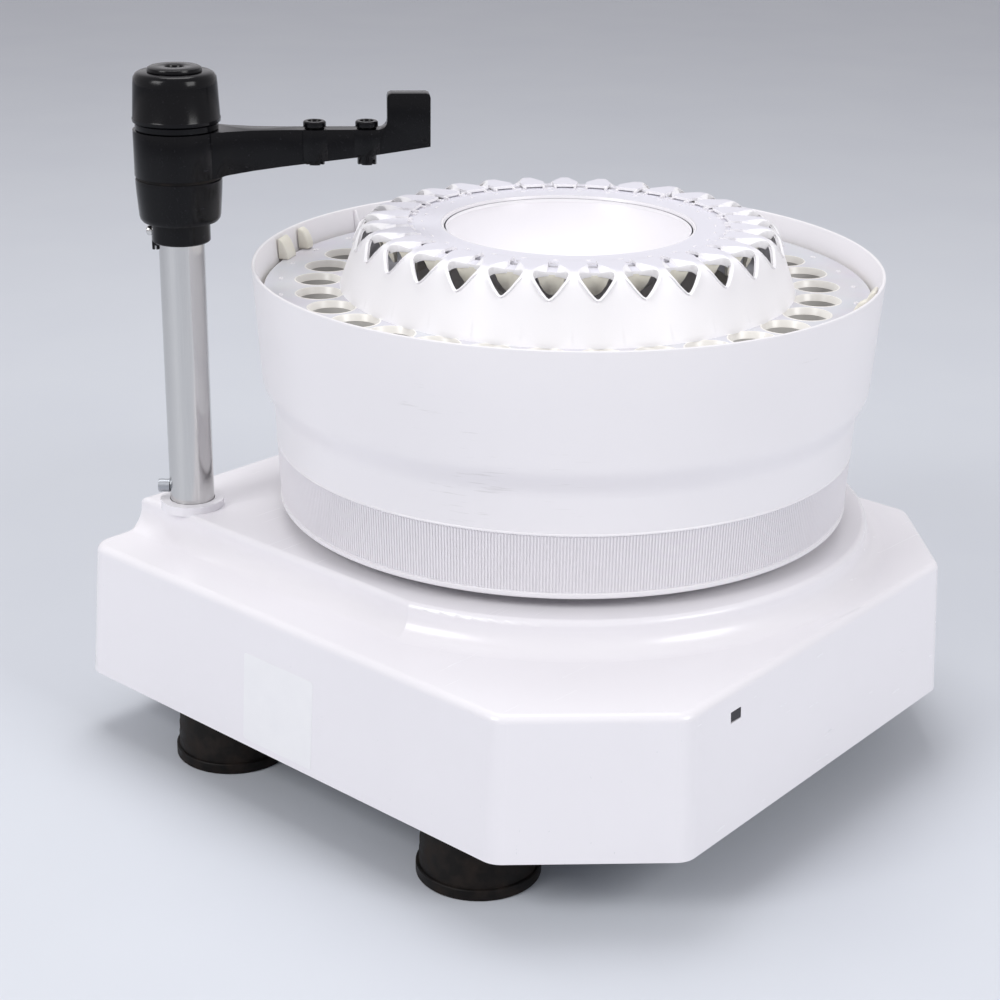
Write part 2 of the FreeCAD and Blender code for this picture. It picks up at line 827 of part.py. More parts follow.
def make_motor():
    """The stepper motor hangs under a folded bracket and turns the small pulley."""
    spot = (MOTOR_X, MOTOR_Y, "0")
    half = "motor_side / 2"
    body = new_body("drive_motor", spot)
    block = pad(body, rectangle("-" + half, "-" + half, half, half),
                "motor_top_z - motor_height", "motor_height")
    round_edges(body, block, "motor_corner", lambda edge: edge.BoundBox.ZLength > 1)
    drill(body, [("0", "0")], "motor_shaft_radius + running_gap", "motor_top_z - motor_hole",
          "motor_hole")
    drill(body, MOTOR_SCREWS, "motor_screw_radius", "motor_top_z - motor_screw_grip",
          "motor_screw_grip")
    keep("drive_motor", body)
    half = "bracket_side / 2"
    body = new_body("motor_bracket", spot)
    pad(body, rectangle("-" + half, "-" + half, half, half), BASE_TOP,
        "motor_top_z + bracket_thick - " + BASE_TOP)
    inner = "(bracket_side / 2 - bracket_thick)"
    pocket(body, rectangle("-" + inner, "-bracket_side", inner, "bracket_side"), BASE_TOP,
           "motor_top_z - " + BASE_TOP)
    drill(body, [("0", "0")], "motor_pulley_radius", "motor_top_z", "bracket_thick")
    drill(body, MOTOR_SCREWS, "motor_screw_radius", "motor_top_z", "bracket_thick")
    keep("motor_bracket", body)
    top = "motor_top_z + bracket_thick"
    spots = [(MOTOR_X + " + " + x, MOTOR_Y + " + " + y, "0") for x, y in MOTOR_SCREWS]
    copies("motor_screws", spots, [
        ("0", "motor_top_z - motor_screw_grip"),
        ("motor_screw_radius", "motor_top_z - motor_screw_grip"),
        ("motor_screw_radius", top),
        ("motor_screw_radius * motor_screw_head", top),
        ("motor_screw_radius * motor_screw_head", top + " + motor_screw_radius"),
        ("0", top + " + motor_screw_radius"),
    ])
    turned("motor_shaft", [
        ("0", "motor_top_z - motor_hole + slip_gap"),
        ("motor_shaft_radius", "motor_top_z - motor_hole + slip_gap"),
        ("motor_shaft_radius", "pulley_z + pulley_width"),
        ("0", "pulley_z + pulley_width"),
    ], spot)
    pulley_top = "pulley_z + pulley_width"
    turned("motor_pulley", [
        ("motor_shaft_radius", "pulley_z"),
        ("motor_pulley_radius + pulley_rim", "pulley_z"),
        ("motor_pulley_radius + pulley_rim", "pulley_z + pulley_flange"),
        ("motor_pulley_radius", "pulley_z + pulley_flange"),
        ("motor_pulley_radius", pulley_top + " - pulley_flange"),
        ("motor_pulley_radius + pulley_rim", pulley_top + " - pulley_flange"),
        ("motor_pulley_radius + pulley_rim", pulley_top),
        ("motor_shaft_radius", pulley_top),
    ], spot)


def make_drive_belt():
    """A toothed belt, as a plain band that wraps both pulleys."""
    span = math.hypot(number("motor_x"), number("motor_y"))
    middle = number("pulley_z + (pulley_width - belt_width) / 2")

    def loop(extra):
        big = number("pulley_radius + fit_gap") + extra
        small = number("motor_pulley_radius + fit_gap") + extra
        lean = math.acos((big - small) / span)
        up = FreeCAD.Vector(math.cos(lean), math.sin(lean), 0)
        down = FreeCAD.Vector(math.cos(lean), -math.sin(lean), 0)
        far = FreeCAD.Vector(span, 0, 0)
        return Part.Wire([
            Part.Arc(up * big, FreeCAD.Vector(-big, 0, 0), down * big).toShape(),
            Part.makeLine(down * big, far + down * small),
            Part.Arc(far + down * small, far + FreeCAD.Vector(small, 0, 0),
                     far + up * small).toShape(),
            Part.makeLine(far + up * small, up * big),
        ])

    band = Part.Face(loop(number("belt_thick"))).cut(Part.Face(loop(0))).Faces[0]
    belt = doc.addObject("Part::Feature", "drive_belt")
    belt.Shape = band.extrude(FreeCAD.Vector(0, 0, number("belt_width")))
    angle = math.degrees(math.atan2(-number("motor_y"), -number("motor_x")))
    belt.Placement = FreeCAD.Placement(
        FreeCAD.Vector(number(BOWL_X), number(BOWL_Y), middle), spin(angle))
    keep("drive_belt", belt)


def make_position_sensor():
    """A fork under the deck that reads the slots of the encoder disc."""
    body = new_body("position_sensor", BENCH_UNDER_BOWL)
    half = "sensor_width / 2"
    disc = "(deck_z - housing_wall - hub_drop - encoder_thick)"
    pad(body, rectangle("-" + half, "encoder_radius - sensor_overlap", half,
                        "encoder_radius - sensor_overlap + sensor_deep"),
        disc + " - sensor_gap - sensor_jaw",
        "hub_drop + encoder_thick + sensor_gap + sensor_jaw")
    pocket(body, rectangle("-sensor_width", "encoder_radius - sensor_overlap - cut_margin",
                           "sensor_width", "encoder_radius + sensor_gap"),
           disc + " - sensor_gap", "encoder_thick + 2 * sensor_gap")
    keep("position_sensor", body)


def make_electrics():
    """Control board, power module and the two sockets in the back wall."""
    spot = on_bowl(("-board_x", "board_y"))
    body = new_body("control_board", spot)
    pad(body, rectangle("0", "0", "board_width", "board_length"), "board_z", "board_thick")
    top = "board_z + board_thick"
    for x, y, wide, long, tall in (("8", "16", "20", "28", "9"), ("38", "14", "24", "24", "3"),
                                   ("36", "52", "26", "20", "12"), ("10", "58", "14", "16", "6")):
        pad(body, rectangle(x, y, x + " + " + wide, y + " + " + long), top, tall)
    inset = "standoff_inset"
    spots = [(x, y) for x in (inset, "board_width - standoff_inset")
             for y in (inset, "board_length - standoff_inset")]
    keep("control_board", body)
    body = new_body("board_standoffs", spot)
    round_pad(body, spots, "standoff_radius", BASE_TOP, "board_z - " + BASE_TOP)
    keep("board_standoffs", body)
    body = new_body("power_supply", on_bowl(("supply_x", "supply_y")))
    case = pad(body, rectangle("-supply_length / 2", "-supply_width / 2", "supply_length / 2",
                               "supply_width / 2"), BASE_TOP, "supply_height")
    round_edges(body, case, "supply_corner", lambda edge: edge.BoundBox.ZLength > 1)
    keep("power_supply", body)

    wall = "(back_reach - (inlet_z - skirt_z) * tan(housing_draft))"
    body = new_body("power_inlet", on_bowl(("inlet_x", wall)))
    wide, tall = "inlet_width / 2", "inlet_height / 2"
    pad(body, rectangle("-" + wide, "-inlet_deep", wide, "-inlet_sink"),
        "inlet_z - " + tall, "inlet_height")
    rim = "(inlet_width / 2 + inlet_flange)"
    behind = "-housing_wall - inlet_sink"
    pad(body, rectangle("-" + rim, behind + " - inlet_plate", rim, behind),
        "inlet_z - %s - inlet_flange" % tall, "inlet_height + 2 * inlet_flange")
    lip = "(inlet_width / 2 - inlet_wall)"
    pocket(body, rectangle("-" + lip, "-inlet_deep + inlet_wall * 2", lip, "cut_margin"),
           "inlet_z - %s + inlet_wall" % tall, "inlet_height - 2 * inlet_wall")
    for side in ("-1", "0", "1"):
        x = "%s * inlet_pin_pitch" % side
        pad(body, rectangle(x + " - pin_side", "-inlet_deep + inlet_wall", x + " + pin_side",
                            "-inlet_deep + inlet_wall * 2 + inlet_pin_length"),
            "inlet_z - 2 * pin_side", "4 * pin_side")
    keep("power_inlet", body)
    outward = FreeCAD.Rotation(FreeCAD.Vector(0, 0, 1), FreeCAD.Vector(0, 1, 0))
    turned("signal_socket", [
        ("0", "-inlet_deep"),
        ("socket_round_radius", "-inlet_deep"),
        ("socket_round_radius", "-housing_wall - inlet_sink - inlet_plate"),
        ("socket_round_radius + inlet_flange", "-housing_wall - inlet_sink - inlet_plate"),
        ("socket_round_radius + inlet_flange", "-housing_wall - inlet_sink"),
        ("socket_round_radius", "-housing_wall - inlet_sink"),
        ("socket_round_radius", "-inlet_sink"),
        ("socket_round_radius - inlet_wall", "-inlet_sink"),
        ("socket_round_radius - inlet_wall", "-inlet_deep / 2"),
        ("0", "-inlet_deep / 2"),
    ], on_bowl(("socket_x", wall), "inlet_z"), outward)

    slope = "(front_left_y - front_right_y) / (front_left_x + front_right_x)"
    face = "(front_left_y - (front_left_x - window_x) * %s - %s)" % (slope, FRONT_Z_SHIFT)
    body = new_body("status_window", on_bowl(("-window_x", "-" + face)))
    pad(body, rectangle("-window_width / 2", "window_sink", "window_width / 2", "window_deep"),
        "window_z - window_height / 2", "window_height")
    keep("status_window", body)
    body = new_body("status_light", on_bowl(("-window_x", "-" + face)))
    pad(body, rectangle("-window_width", "window_deep", "window_width",
                        "window_deep + light_thick"),
        "window_z - window_height * 1.5", "window_height * 3")
    keep("status_light", body)


def make_post():
    """The stainless tube post, its inner socket and the screw at its foot."""
    foot = on_bowl(("-post_x", "post_y"))
    turned("post_socket", [
        ("0", BASE_TOP),
        ("socket_flange", BASE_TOP),
        ("socket_flange", "post_foot_z"),
        ("socket_radius", "post_foot_z"),
        ("socket_radius", "shoulder_z - housing_wall - fit_gap"),
        ("post_radius", "shoulder_z - housing_wall - fit_gap"),
        ("post_radius", "post_foot_z"),
        ("0", "post_foot_z"),
    ], foot)
    body = new_body("support_post", foot)
    turn(body, ring("post_radius - post_wall", "post_radius", "post_foot_z", "post_top_z"))
    side = new_sketch(body, "YZ_Plane")
    circles(side, [("0", "post_screw_z")], "post_screw_radius / 2")
    hole = body.newObject("PartDesign::Pocket", "Pocket")
    hole.Profile = side
    hole.Reversed = True
    bind(hole, "Length", "post_radius + cut_margin")
    place(body, foot, spin(SCREW_ANGLE))
    keep("support_post", body)
    away = FreeCAD.Vector(math.cos(math.radians(SCREW_ANGLE)),
                          math.sin(math.radians(SCREW_ANGLE)), 0)
    outward = FreeCAD.Rotation(FreeCAD.Vector(0, 0, 1), away)
    turned("post_lock_screw", [
        ("0", "post_radius - post_wall"),
        ("post_screw_radius / 2", "post_radius - post_wall"),
        ("post_screw_radius / 2", "post_radius"),
        ("post_screw_radius", "post_radius"),
        ("post_screw_radius", "post_radius + post_screw_length"),
        ("0", "post_radius + post_screw_length"),
    ], (POST_X, POST_Y, "post_screw_z"), outward)


def make_head():
    """The black head on the post: clamp, cup, sleeve, washers and the top knob."""
    body = new_body("clamp_collar", POST, spin(SCREW_ANGLE))
    turn(body, ring(SLEEVE_BORE, "grip_radius", "grip_z", "cup_z"))
    pad(body, rectangle("grip_radius - joint_bite", "-clamp_ear_width / 2",
                        "grip_radius + clamp_ear_length", "clamp_ear_width / 2"),
        "grip_z", "cup_z - grip_z")
    tab = "(clamp_ear_width / 2 + clamp_tab_gap)"
    pad(body, rectangle("grip_radius - clamp_tab_thick + joint_bite",
                        "-%s - clamp_tab_width" % tab, "grip_radius + joint_bite", "-" + tab),
        "grip_z - clamp_tab_drop", "cup_z - grip_z + clamp_tab_drop")
    side = new_sketch(body, "YZ_Plane")
    circles(side, [("0", "clamp_screw_z")], "clamp_screw_radius + running_gap")
    hole = body.newObject("PartDesign::Pocket", "Pocket")
    hole.Profile = side
    hole.Reversed = True
    bind(hole, "Length", "grip_radius + clamp_ear_length + cut_margin")
    keep("clamp_collar", body)
    away = FreeCAD.Vector(math.cos(math.radians(SCREW_ANGLE)),
                          math.sin(math.radians(SCREW_ANGLE)), 0)
    outward = FreeCAD.Rotation(FreeCAD.Vector(0, 0, 1), away)
    tip = "post_radius + slip_gap"
    face = "grip_radius + clamp_ear_length + slip_gap"
    turned("clamp_screw", [
        ("0", tip),
        ("clamp_screw_radius", tip),
        ("clamp_screw_radius", face),
        ("clamp_head_radius", face),
        ("clamp_head_radius", face + " + clamp_head_length"),
        ("0", face + " + clamp_head_length"),
    ], (POST_X, POST_Y, "drum_z + clamp_screw_z"), outward)
    turned("lower_cup", [
        ("sleeve_radius", "cup_z"),
        ("cup_foot_radius - cup_edge", "cup_z"),
        ("cup_foot_radius", "cup_z + cup_edge"),
        ("cup_radius", "cup_top_z"),
        ("sleeve_radius", "cup_top_z"),
    ], POST)
    turned("lower_washer", ring("sleeve_radius", "neck_radius", "cup_top_z", "hub_z"), POST)
    turned("head_sleeve", ring(SLEEVE_BORE, "sleeve_radius", "cup_z", "sleeve_top_z"), POST)
    turned("neck_ring", ring(HUB_BORE, "neck_radius", "hub_top_z + slip_gap", "knob_z"), POST)
    turned("lock_knob", [
        (HUB_BORE, "knob_z"),
        ("knob_radius - edge_round", "knob_z"),
        ("knob_radius", "knob_z + knob_foot"),
        ("knob_top_radius", "knob_top_z - knob_edge"),
        ("knob_top_radius - knob_edge", "knob_top_z"),
        ("0", "knob_top_z"),
        ("0", "knob_top_z - knob_skin"),
        (HUB_BORE, "knob_top_z - knob_skin"),
    ], POST)
    cap_top = "knob_top_z + cap_height"
    turned("knob_cap", [
        ("0", "knob_top_z"),
        ("cap_radius", "knob_top_z"),
        ("cap_radius", cap_top + " - edge_round"),
        ("cap_radius - edge_round", cap_top),
        ("cap_dimple", cap_top),
        ("cap_dimple", cap_top + " - cap_dimple_deep"),
        ("0", cap_top + " - cap_dimple_deep"),
    ], POST)


def make_arm():
    """The moulded arm: tapered beam, upturned finger flag and two tubing holders."""
    body = new_body("dispenser_arm", POST, spin(ARM_ANGLE))
    root = "arm_root_width / 2"
    half = "arm_width / 2"
    pad(body, [
        ("arm_root_reach", "-%s" % root, "arm_root_bend"),
        ("arm_taper_reach", "-%s" % half),
        ("arm_length", "-%s" % half),
        ("arm_length", half),
        ("arm_taper_reach", half, "arm_root_bend"),
        ("arm_root_reach", root),
    ], ARM_HUB_FOOT, "flag_z - " + ARM_HUB_FOOT)
    round_pad(body, [("0", "0")], "arm_hub_radius", ARM_HUB_FOOT,
              "hub_top_z - " + ARM_HUB_FOOT)
    round_pad(body, [(OUTER_HOLDER, "0"), (INNER_HOLDER, "0")], "holder_boss_radius",
              ARM_HUB_FOOT, "hub_top_z - " + ARM_HUB_FOOT)
    side = new_sketch(body, "XZ_Plane")
    outline(side, [
        ("-arm_hub_radius - cut_margin", "hub_top_z"),
        ("flag_reach - flag_foot", "hub_top_z", "-flag_foot"),
        ("flag_reach", "hub_top_z + flag_foot"),
        ("flag_reach", "flag_z + cut_margin"),
        ("-arm_hub_radius - cut_margin", "flag_z + cut_margin"),
    ])
    over = body.newObject("PartDesign::Pocket", "Pocket")
    over.Profile = side
    over.Midplane = True
    bind(over, "Length", "4 * arm_hub_radius")
    rise = "(arm_tip_z - cup_top_z) / (arm_length - arm_hub_radius)"
    side = new_sketch(body, "XZ_Plane")
    outline(side, [
        ("arm_hub_radius", "cup_top_z - cut_margin"),
        ("arm_length + cut_margin", "cup_top_z - cut_margin"),
        ("arm_length + cut_margin", "arm_tip_z + cut_margin * " + rise),
        ("arm_hub_radius", "cup_top_z"),
    ])
    under = body.newObject("PartDesign::Pocket", "Pocket")
    under.Profile = side
    under.Midplane = True
    bind(under, "Length", "4 * arm_hub_radius")
    round_edges(body, under, "flag_corner", lambda edge: at_height(edge, "flag_z")
                and edge.BoundBox.XLength < 0.01)
    drill(body, [("0", "0")], HUB_BORE, "hub_z - cut_margin",
          "hub_top_z - hub_z + 2 * cut_margin")
    drill(body, [(OUTER_HOLDER, "0"), (INNER_HOLDER, "0")], "holder_radius + holder_gap",
          "hub_z - cut_margin", "hub_top_z - hub_z + 2 * cut_margin")
    keep("dispenser_arm", body)
    for name, reach in (("outer_tubing_holder", OUTER_HOLDER),
                        ("inner_tubing_holder", INNER_HOLDER)):
        share = "%s / %s" % (reach, ARM_SPAN)
        turned(name, [
            ("holder_bore", "holder_foot_z"),
            ("holder_radius", "holder_foot_z"),
            ("holder_radius", "hub_top_z"),
            ("holder_head_radius", "hub_top_z"),
            ("holder_head_radius", "holder_top_z"),
            ("holder_bore", "holder_top_z"),
        ], (POST_X + " + post_x * " + share, POST_Y + " - post_y * " + share, "drum_z"))


def station_holes(body, low, height):
    """Drill both rings of tube stations through a plate."""
    for radius, width in (("tube_ring", "tube_hole"), ("inner_ring", "inner_hole")):
        hole = drill(body, [(radius, "0")], width + " / 2", low, height)
        holes = around(body, hole, "stations")
    return holes


def make_bowl():
    """The outer bowl: a ribbed drum below, a soft shoulder and a flared upper wall."""
    body = new_body("outer_bowl", BOWL)
    middle = "((waist_radius + swell_radius) / 2)"
    middle_z = "((waist_z + swell_z) / 2)"
    seat = "(" + TRAY_RADIUS + " - ledge_width)"
    turn(body, [
        ("drum_radius", "0"),
        ("waist_radius", "waist_z", "shoulder_bend"),
        (middle, middle_z, "-shoulder_bend"),
        ("swell_radius", "swell_z"),
        ("rim_radius", "bowl_height - edge_round"),
        ("rim_radius - edge_round", "bowl_height"),
        ("rim_radius - bowl_wall + edge_round", "bowl_height"),
        ("rim_radius - bowl_wall", "bowl_height - edge_round"),
        (WALL_AT_TRAY, TRAY_Z),
        (seat, TRAY_Z),
        (seat, TRAY_Z + " - ledge_thick"),
        (WALL_AT_TRAY + " - ledge_height * " + WALL_RISE,
         TRAY_Z + " - ledge_thick - ledge_height"),
        ("swell_radius - bowl_wall", "swell_z", "shoulder_bend"),
        (middle + " - bowl_wall", middle_z, "-shoulder_bend"),
        ("waist_radius - bowl_wall", "waist_z"),
        ("drum_radius - bowl_wall", FLOOR_TOP),
        ("spigot_radius + slip_gap", FLOOR_TOP),
        ("spigot_radius + slip_gap", "floor_z"),
        ("drum_radius - bowl_wall", "floor_z"),
        ("drum_radius - bowl_wall", "0"),
    ])
    hole = drill(body, [("drive_pin_ring", "0")], "drive_pin_radius + slip_gap", "floor_z",
                 "floor_thick")
    around(body, hole, "drive_pins")
    keep("outer_bowl", body)
    body = new_body("tube_tray", BOWL)
    turn(body, ring("tray_bore", TRAY_RADIUS, TRAY_Z, TRAY_TOP))
    holes = station_holes(body, TRAY_Z, "tray_thick")

    def on_tube_hole(edge):
        size = number("tube_hole / 2")
        return at_height(edge, TRAY_TOP) and abs(edge.Curve.Radius - size) < 0.01

    bevel_edges(body, holes, "tray_funnel", on_tube_hole)
    keep("tube_tray", body)
    body = new_body("tube_guide", BOWL)
    low = "guide_z"
    turn(body, ring("column_radius", "waist_radius - bowl_wall - guide_gap", low,
                    "guide_z + guide_thick"))
    station_holes(body, low, "guide_thick")
    keep("tube_guide", body)
    turned("tube_mat", ring("mat_bore", "drum_radius - bowl_wall - guide_gap", FLOOR_TOP,
                            FLOOR_TOP + " + mat_thick"), BOWL)
    inside = "column_radius - column_wall"
    dish_foot = DISH_FLOOR + " - dish_wall"
    turned("centre_column", [
        (inside, FLOOR_TOP),
        ("column_foot_radius", FLOOR_TOP),
        ("column_foot_radius", FLOOR_TOP + " + column_foot_thick"),
        ("column_radius + column_collar", FLOOR_TOP + " + column_foot_thick"),
        ("column_radius + column_collar", "guide_z"),
        ("column_radius", "guide_z"),
        ("column_radius", dish_foot),
        (inside, dish_foot),
    ], BOWL)
    turned("centre_dish", [
        ("0", DISH_FLOOR),
        ("dish_floor_radius", DISH_FLOOR, "-dish_bend"),
        ("dish_radius - dish_rim", RING_Z),
        ("dish_radius", RING_Z),
        ("dish_radius", RING_Z + " - dish_seat"),
        ("dish_radius - dish_wall", RING_Z + " - dish_seat", "dish_bend + dish_wall"),
        ("dish_floor_radius", dish_foot),
        ("0", dish_foot),
    ], BOWL)


def make_crown():
    """The raised inner rack: thirty windows in its shoulder over the small-tube ring."""
    body = new_body("crown_rack", BOWL)
    shoulder_z = "(" + TRAY_TOP + " + crown_shoulder_rise)"
    seat = RING_Z + " - dish_seat"
    turn(body, [
        ("crown_foot_radius", TRAY_TOP),
        ("crown_shoulder_radius", shoulder_z, "-crown_bend"),
        ("crown_top_radius", CROWN_TOP),
        ("crown_step_radius", CROWN_TOP),
        ("crown_step_radius", RING_Z),
        ("dish_radius", RING_Z),
        ("dish_radius", seat),
        ("dish_radius - dish_wall", seat),
        ("dish_radius - dish_wall", seat + " - crown_wall"),
        ("crown_step_radius + crown_wall", seat + " - crown_wall"),
        ("crown_step_radius + crown_wall", CROWN_TOP + " - crown_wall"),
        ("crown_top_radius", CROWN_TOP + " - crown_wall", "crown_bend - crown_wall"),
        ("crown_shoulder_radius - crown_wall", shoulder_z + " - crown_wall / 3"),
        ("crown_foot_radius - crown_wall", TRAY_TOP),
    ])
    window = drill(body, [("inner_ring", "0")], "crown_window_width / 2",
                   TRAY_TOP + " + window_sill", "crown_top_rise")
    around(body, window, "stations")
    keep("crown_rack", body)
    body = new_body("cradle_ring", BOWL)
    low = TRAY_TOP + " + cradle_rise"
    turn(body, ring("cradle_inner", "cradle_outer", low, CROWN_TOP + " - crown_wall"))
    scallop = drill(body, [("inner_ring", "0")], "inner_hole / 2 + fit_gap", low,
                    "crown_top_rise")
    around(body, scallop, "stations")
    keep("cradle_ring", body)
    body = new_body("tray_latches", BOWL, spin(LATCH_ANGLE))
    reach = "(" + WALL_ABOVE_TRAY + " - fit_gap)"
    latch = pad(body, rectangle(reach + " - latch_deep", "-latch_width / 2", reach,
                                "latch_width / 2"), TRAY_TOP, "latch_height")
    around(body, latch, "latches")
    keep("tray_latches", body)


def check_and_write():
    """Stop on any failed object, then write each sub-part to its own file."""
    doc.recompute()
    for item in doc.Objects:
        if "Invalid" in item.State or "Error" in item.State:
            raise RuntimeError("%s (%s) failed" % (item.Name, item.Label))
    for name, item in nodes.items():
        shape = item.Shape
        if shape.isNull() or not shape.isValid() or shape.Volume <= 0:
            raise RuntimeError(name + " has no valid shape")
        shape.exportStep(os.path.join("parts", name + ".step"))
        print("%-22s %2d solids %12.1f mm3" % (name, len(shape.Solids), shape.Volume))
    print(len(nodes), "nodes")


make_housing_shell()
make_base_plate()
make_feet()
make_bearing_block()
make_spindle()
make_motor()
make_drive_belt()
make_position_sensor()
make_electrics()
make_post()
make_head()
make_arm()
make_bowl()
make_crown()
check_and_write()
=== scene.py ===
import math
import bpy
from mathutils import Matrix, Vector


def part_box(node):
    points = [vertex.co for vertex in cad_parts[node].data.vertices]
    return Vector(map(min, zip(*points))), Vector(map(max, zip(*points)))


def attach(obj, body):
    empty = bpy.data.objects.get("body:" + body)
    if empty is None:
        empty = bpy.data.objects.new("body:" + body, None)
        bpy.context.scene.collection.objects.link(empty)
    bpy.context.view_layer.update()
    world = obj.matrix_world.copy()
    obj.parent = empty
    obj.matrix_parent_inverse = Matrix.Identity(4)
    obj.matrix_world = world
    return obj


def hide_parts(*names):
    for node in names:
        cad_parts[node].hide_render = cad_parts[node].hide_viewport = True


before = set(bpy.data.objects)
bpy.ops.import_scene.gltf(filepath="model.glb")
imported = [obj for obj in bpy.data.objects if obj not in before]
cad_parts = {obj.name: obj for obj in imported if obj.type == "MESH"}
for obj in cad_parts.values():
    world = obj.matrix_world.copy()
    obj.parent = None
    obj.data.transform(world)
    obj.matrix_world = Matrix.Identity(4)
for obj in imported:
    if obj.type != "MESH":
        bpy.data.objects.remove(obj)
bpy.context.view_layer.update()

# Camera. It stands at the front left of the collector, a little above it, and looks down
# at the deck with a fairly long lens.
sight = Vector((0.69213, 0.62549, -0.36019))
across = Vector((0.67426, -0.73838, 0.01338))
upward = Vector((0.25759, 0.25212, 0.93278))
lens = bpy.data.cameras.new("camera")
lens.sensor_width = 36
lens.lens = 75.23
lens.clip_end = 60
camera = bpy.data.objects.new("camera", lens)
camera.matrix_world = (Matrix.Translation((-0.79785, -0.67696, 0.53337))
                       @ Matrix((across, upward, -sight)).transposed().to_4x4())
bpy.context.collection.objects.link(camera)
bpy.context.scene.camera = camera
bpy.context.scene.view_settings.view_transform = "Standard"


# Bench top. A plain pale laminate that runs out past the edges of the view, with a pale
# room behind it that gloss and metal can show.
def srgb(code):
    """Turn an sRGB hex colour into the linear colour that a shader reads."""
    parts = [int(code[place:place + 2], 16) / 255 for place in (1, 3, 5)]
    line = [part / 12.92 if part <= 0.04045 else ((part + 0.055) / 1.055) ** 2.4
            for part in parts]
    return line + [1]


def add(tree, kind, settings=None, links=None):
    """Add a shader node with its settings and its links, and return it."""
    node = tree.nodes.new(kind)
    for key, value in (settings or {}).items():
        if isinstance(key, str) and hasattr(node, key):
            setattr(node, key, value)
        else:
            node.inputs[key].default_value = value
    for key, source in (links or {}).items():
        tree.links.new(source, node.inputs[key])
    return node


def start_finish(name, colour, **shading):
    """Start a material named for its finish and return it with its tree and its shader."""
    finish = bpy.data.materials.new(name)
    finish.use_nodes = True
    finish.diffuse_color = srgb(colour)
    shader = finish.node_tree.nodes["Principled BSDF"]
    shader.inputs["Base Color"].default_value = srgb(colour)
    for key, value in shading.items():
        shader.inputs[key.replace("_", " ").title().replace("Ior", "IOR")].default_value = value
    return finish, finish.node_tree, shader


# Melamine laminate: an even pale grey-blue with a broad soft shine.
melamine, tree, shader = start_finish("melamine_laminate", "#D6DAE1", roughness=0.55)
place = add(tree, "ShaderNodeTexCoord")
cloud = add(tree, "ShaderNodeTexNoise", {"Scale": 6, "Detail": 3},
            {"Vector": place.outputs["Object"]})
shade = add(tree, "ShaderNodeMix", {"data_type": "RGBA", 6: srgb("#D2D6DE"), 7: srgb("#D9DDE3")},
            {0: cloud.outputs["Fac"]})
tree.links.new(shade.outputs[2], shader.inputs["Base Color"])
bpy.ops.object.select_all(action="DESELECT")
bpy.ops.mesh.primitive_plane_add(size=16, location=(0, 0, 0))
bench = bpy.context.object
bench.name = "bench_top"
bench.data.materials.append(melamine)

world = bpy.data.worlds.new("pale_room")
bpy.context.scene.world = world
world.use_nodes = True
tree = world.node_tree
seen = add(tree, "ShaderNodeLightPath")
direct = add(tree, "ShaderNodeMath", {"operation": "MAXIMUM"},
             {0: seen.outputs["Is Camera Ray"], 1: seen.outputs["Is Glossy Ray"]})
either = add(tree, "ShaderNodeMath", {"operation": "MAXIMUM"},
             {0: direct.outputs[0], 1: seen.outputs["Is Transmission Ray"]})
level = add(tree, "ShaderNodeMapRange", {"To Min": 0.47, "To Max": 0.74}, {0: either.outputs[0]})
tree.nodes["Background"].inputs["Color"].default_value = srgb("#F3F1F6")
tree.links.new(level.outputs[0], tree.nodes["Background"].inputs["Strength"])


def soft_lamp(name, spot, power, width):
    """Hang a square soft lamp that faces the collector."""
    data = bpy.data.lights.new(name, "AREA")
    data.size = width
    data.energy = power
    lamp = bpy.data.objects.new(name, data)
    lamp.location = spot
    lamp.rotation_euler = (Vector((0, 0, 0.15)) - Vector(spot)).to_track_quat("-Z", "Y").to_euler()
    bpy.context.collection.objects.link(lamp)


soft_lamp("soft_lamp_left", (-1.9, 0.3, 1.5), 20, 0.9)
soft_lamp("soft_lamp_front", (0.1, -1.9, 1.3), 16.5, 0.85)
soft_lamp("soft_lamp_top", (0.3, 0.5, 2.1), 15.5, 1.0)

# Housing. A gloss white casing injection moulded in ABS, with drafted walls, a raised deck
# and a collar for the post. The mould leaves it smooth, use leaves hairline scratches.
# Gloss ABS: nearly white and slightly cool, a clear soft highlight over a faint ripple.
gloss_abs, tree, shader = start_finish("moulded_gloss_abs", "#F3F3F6", roughness=0.24, ior=1.54)
place = add(tree, "ShaderNodeTexCoord")
cloud = add(tree, "ShaderNodeTexNoise", {"Scale": 9, "Detail": 4},
            {"Vector": place.outputs["Object"]})
shade = add(tree, "ShaderNodeMix", {"data_type": "RGBA", 6: srgb("#F6F4F8"), 7: srgb("#EFEDF1")},
            {0: cloud.outputs["Fac"]})
# Hairline scratches a few centimetres long and under half a millimetre wide.
slant = add(tree, "ShaderNodeMapping", {"Rotation": (0.5, 0.9, 0.4), "Scale": (14, 700, 330)},
            {"Vector": place.outputs["Object"]})
scratch = add(tree, "ShaderNodeTexNoise", {"Scale": 1, "Detail": 2}, {"Vector": slant.outputs[0]})
line = add(tree, "ShaderNodeMapRange", {"From Min": 0.72, "From Max": 0.78},
           {0: scratch.outputs["Fac"]})
wear_and_shade = add(tree, "ShaderNodeMix", {"data_type": "RGBA", 7: srgb("#DFDFE3")},
           {0: line.outputs[0], 6: shade.outputs[2]})
rough = add(tree, "ShaderNodeMapRange", {"To Min": 0.2, "To Max": 0.3}, {0: cloud.outputs["Fac"]})
dull = add(tree, "ShaderNodeMath", {"operation": "MULTIPLY_ADD", 1: 0.3},
           {0: line.outputs[0], 2: rough.outputs[0]})
ripple = add(tree, "ShaderNodeTexNoise", {"Scale": 260, "Detail": 1},
             {"Vector": place.outputs["Object"]})
bump = add(tree, "ShaderNodeBump", {"Strength": 0.05, "Distance": 0.0003},
           {"Height": ripple.outputs["Fac"]})
tree.links.new(wear_and_shade.outputs[2], shader.inputs["Base Color"])
tree.links.new(dull.outputs[0], shader.inputs["Roughness"])
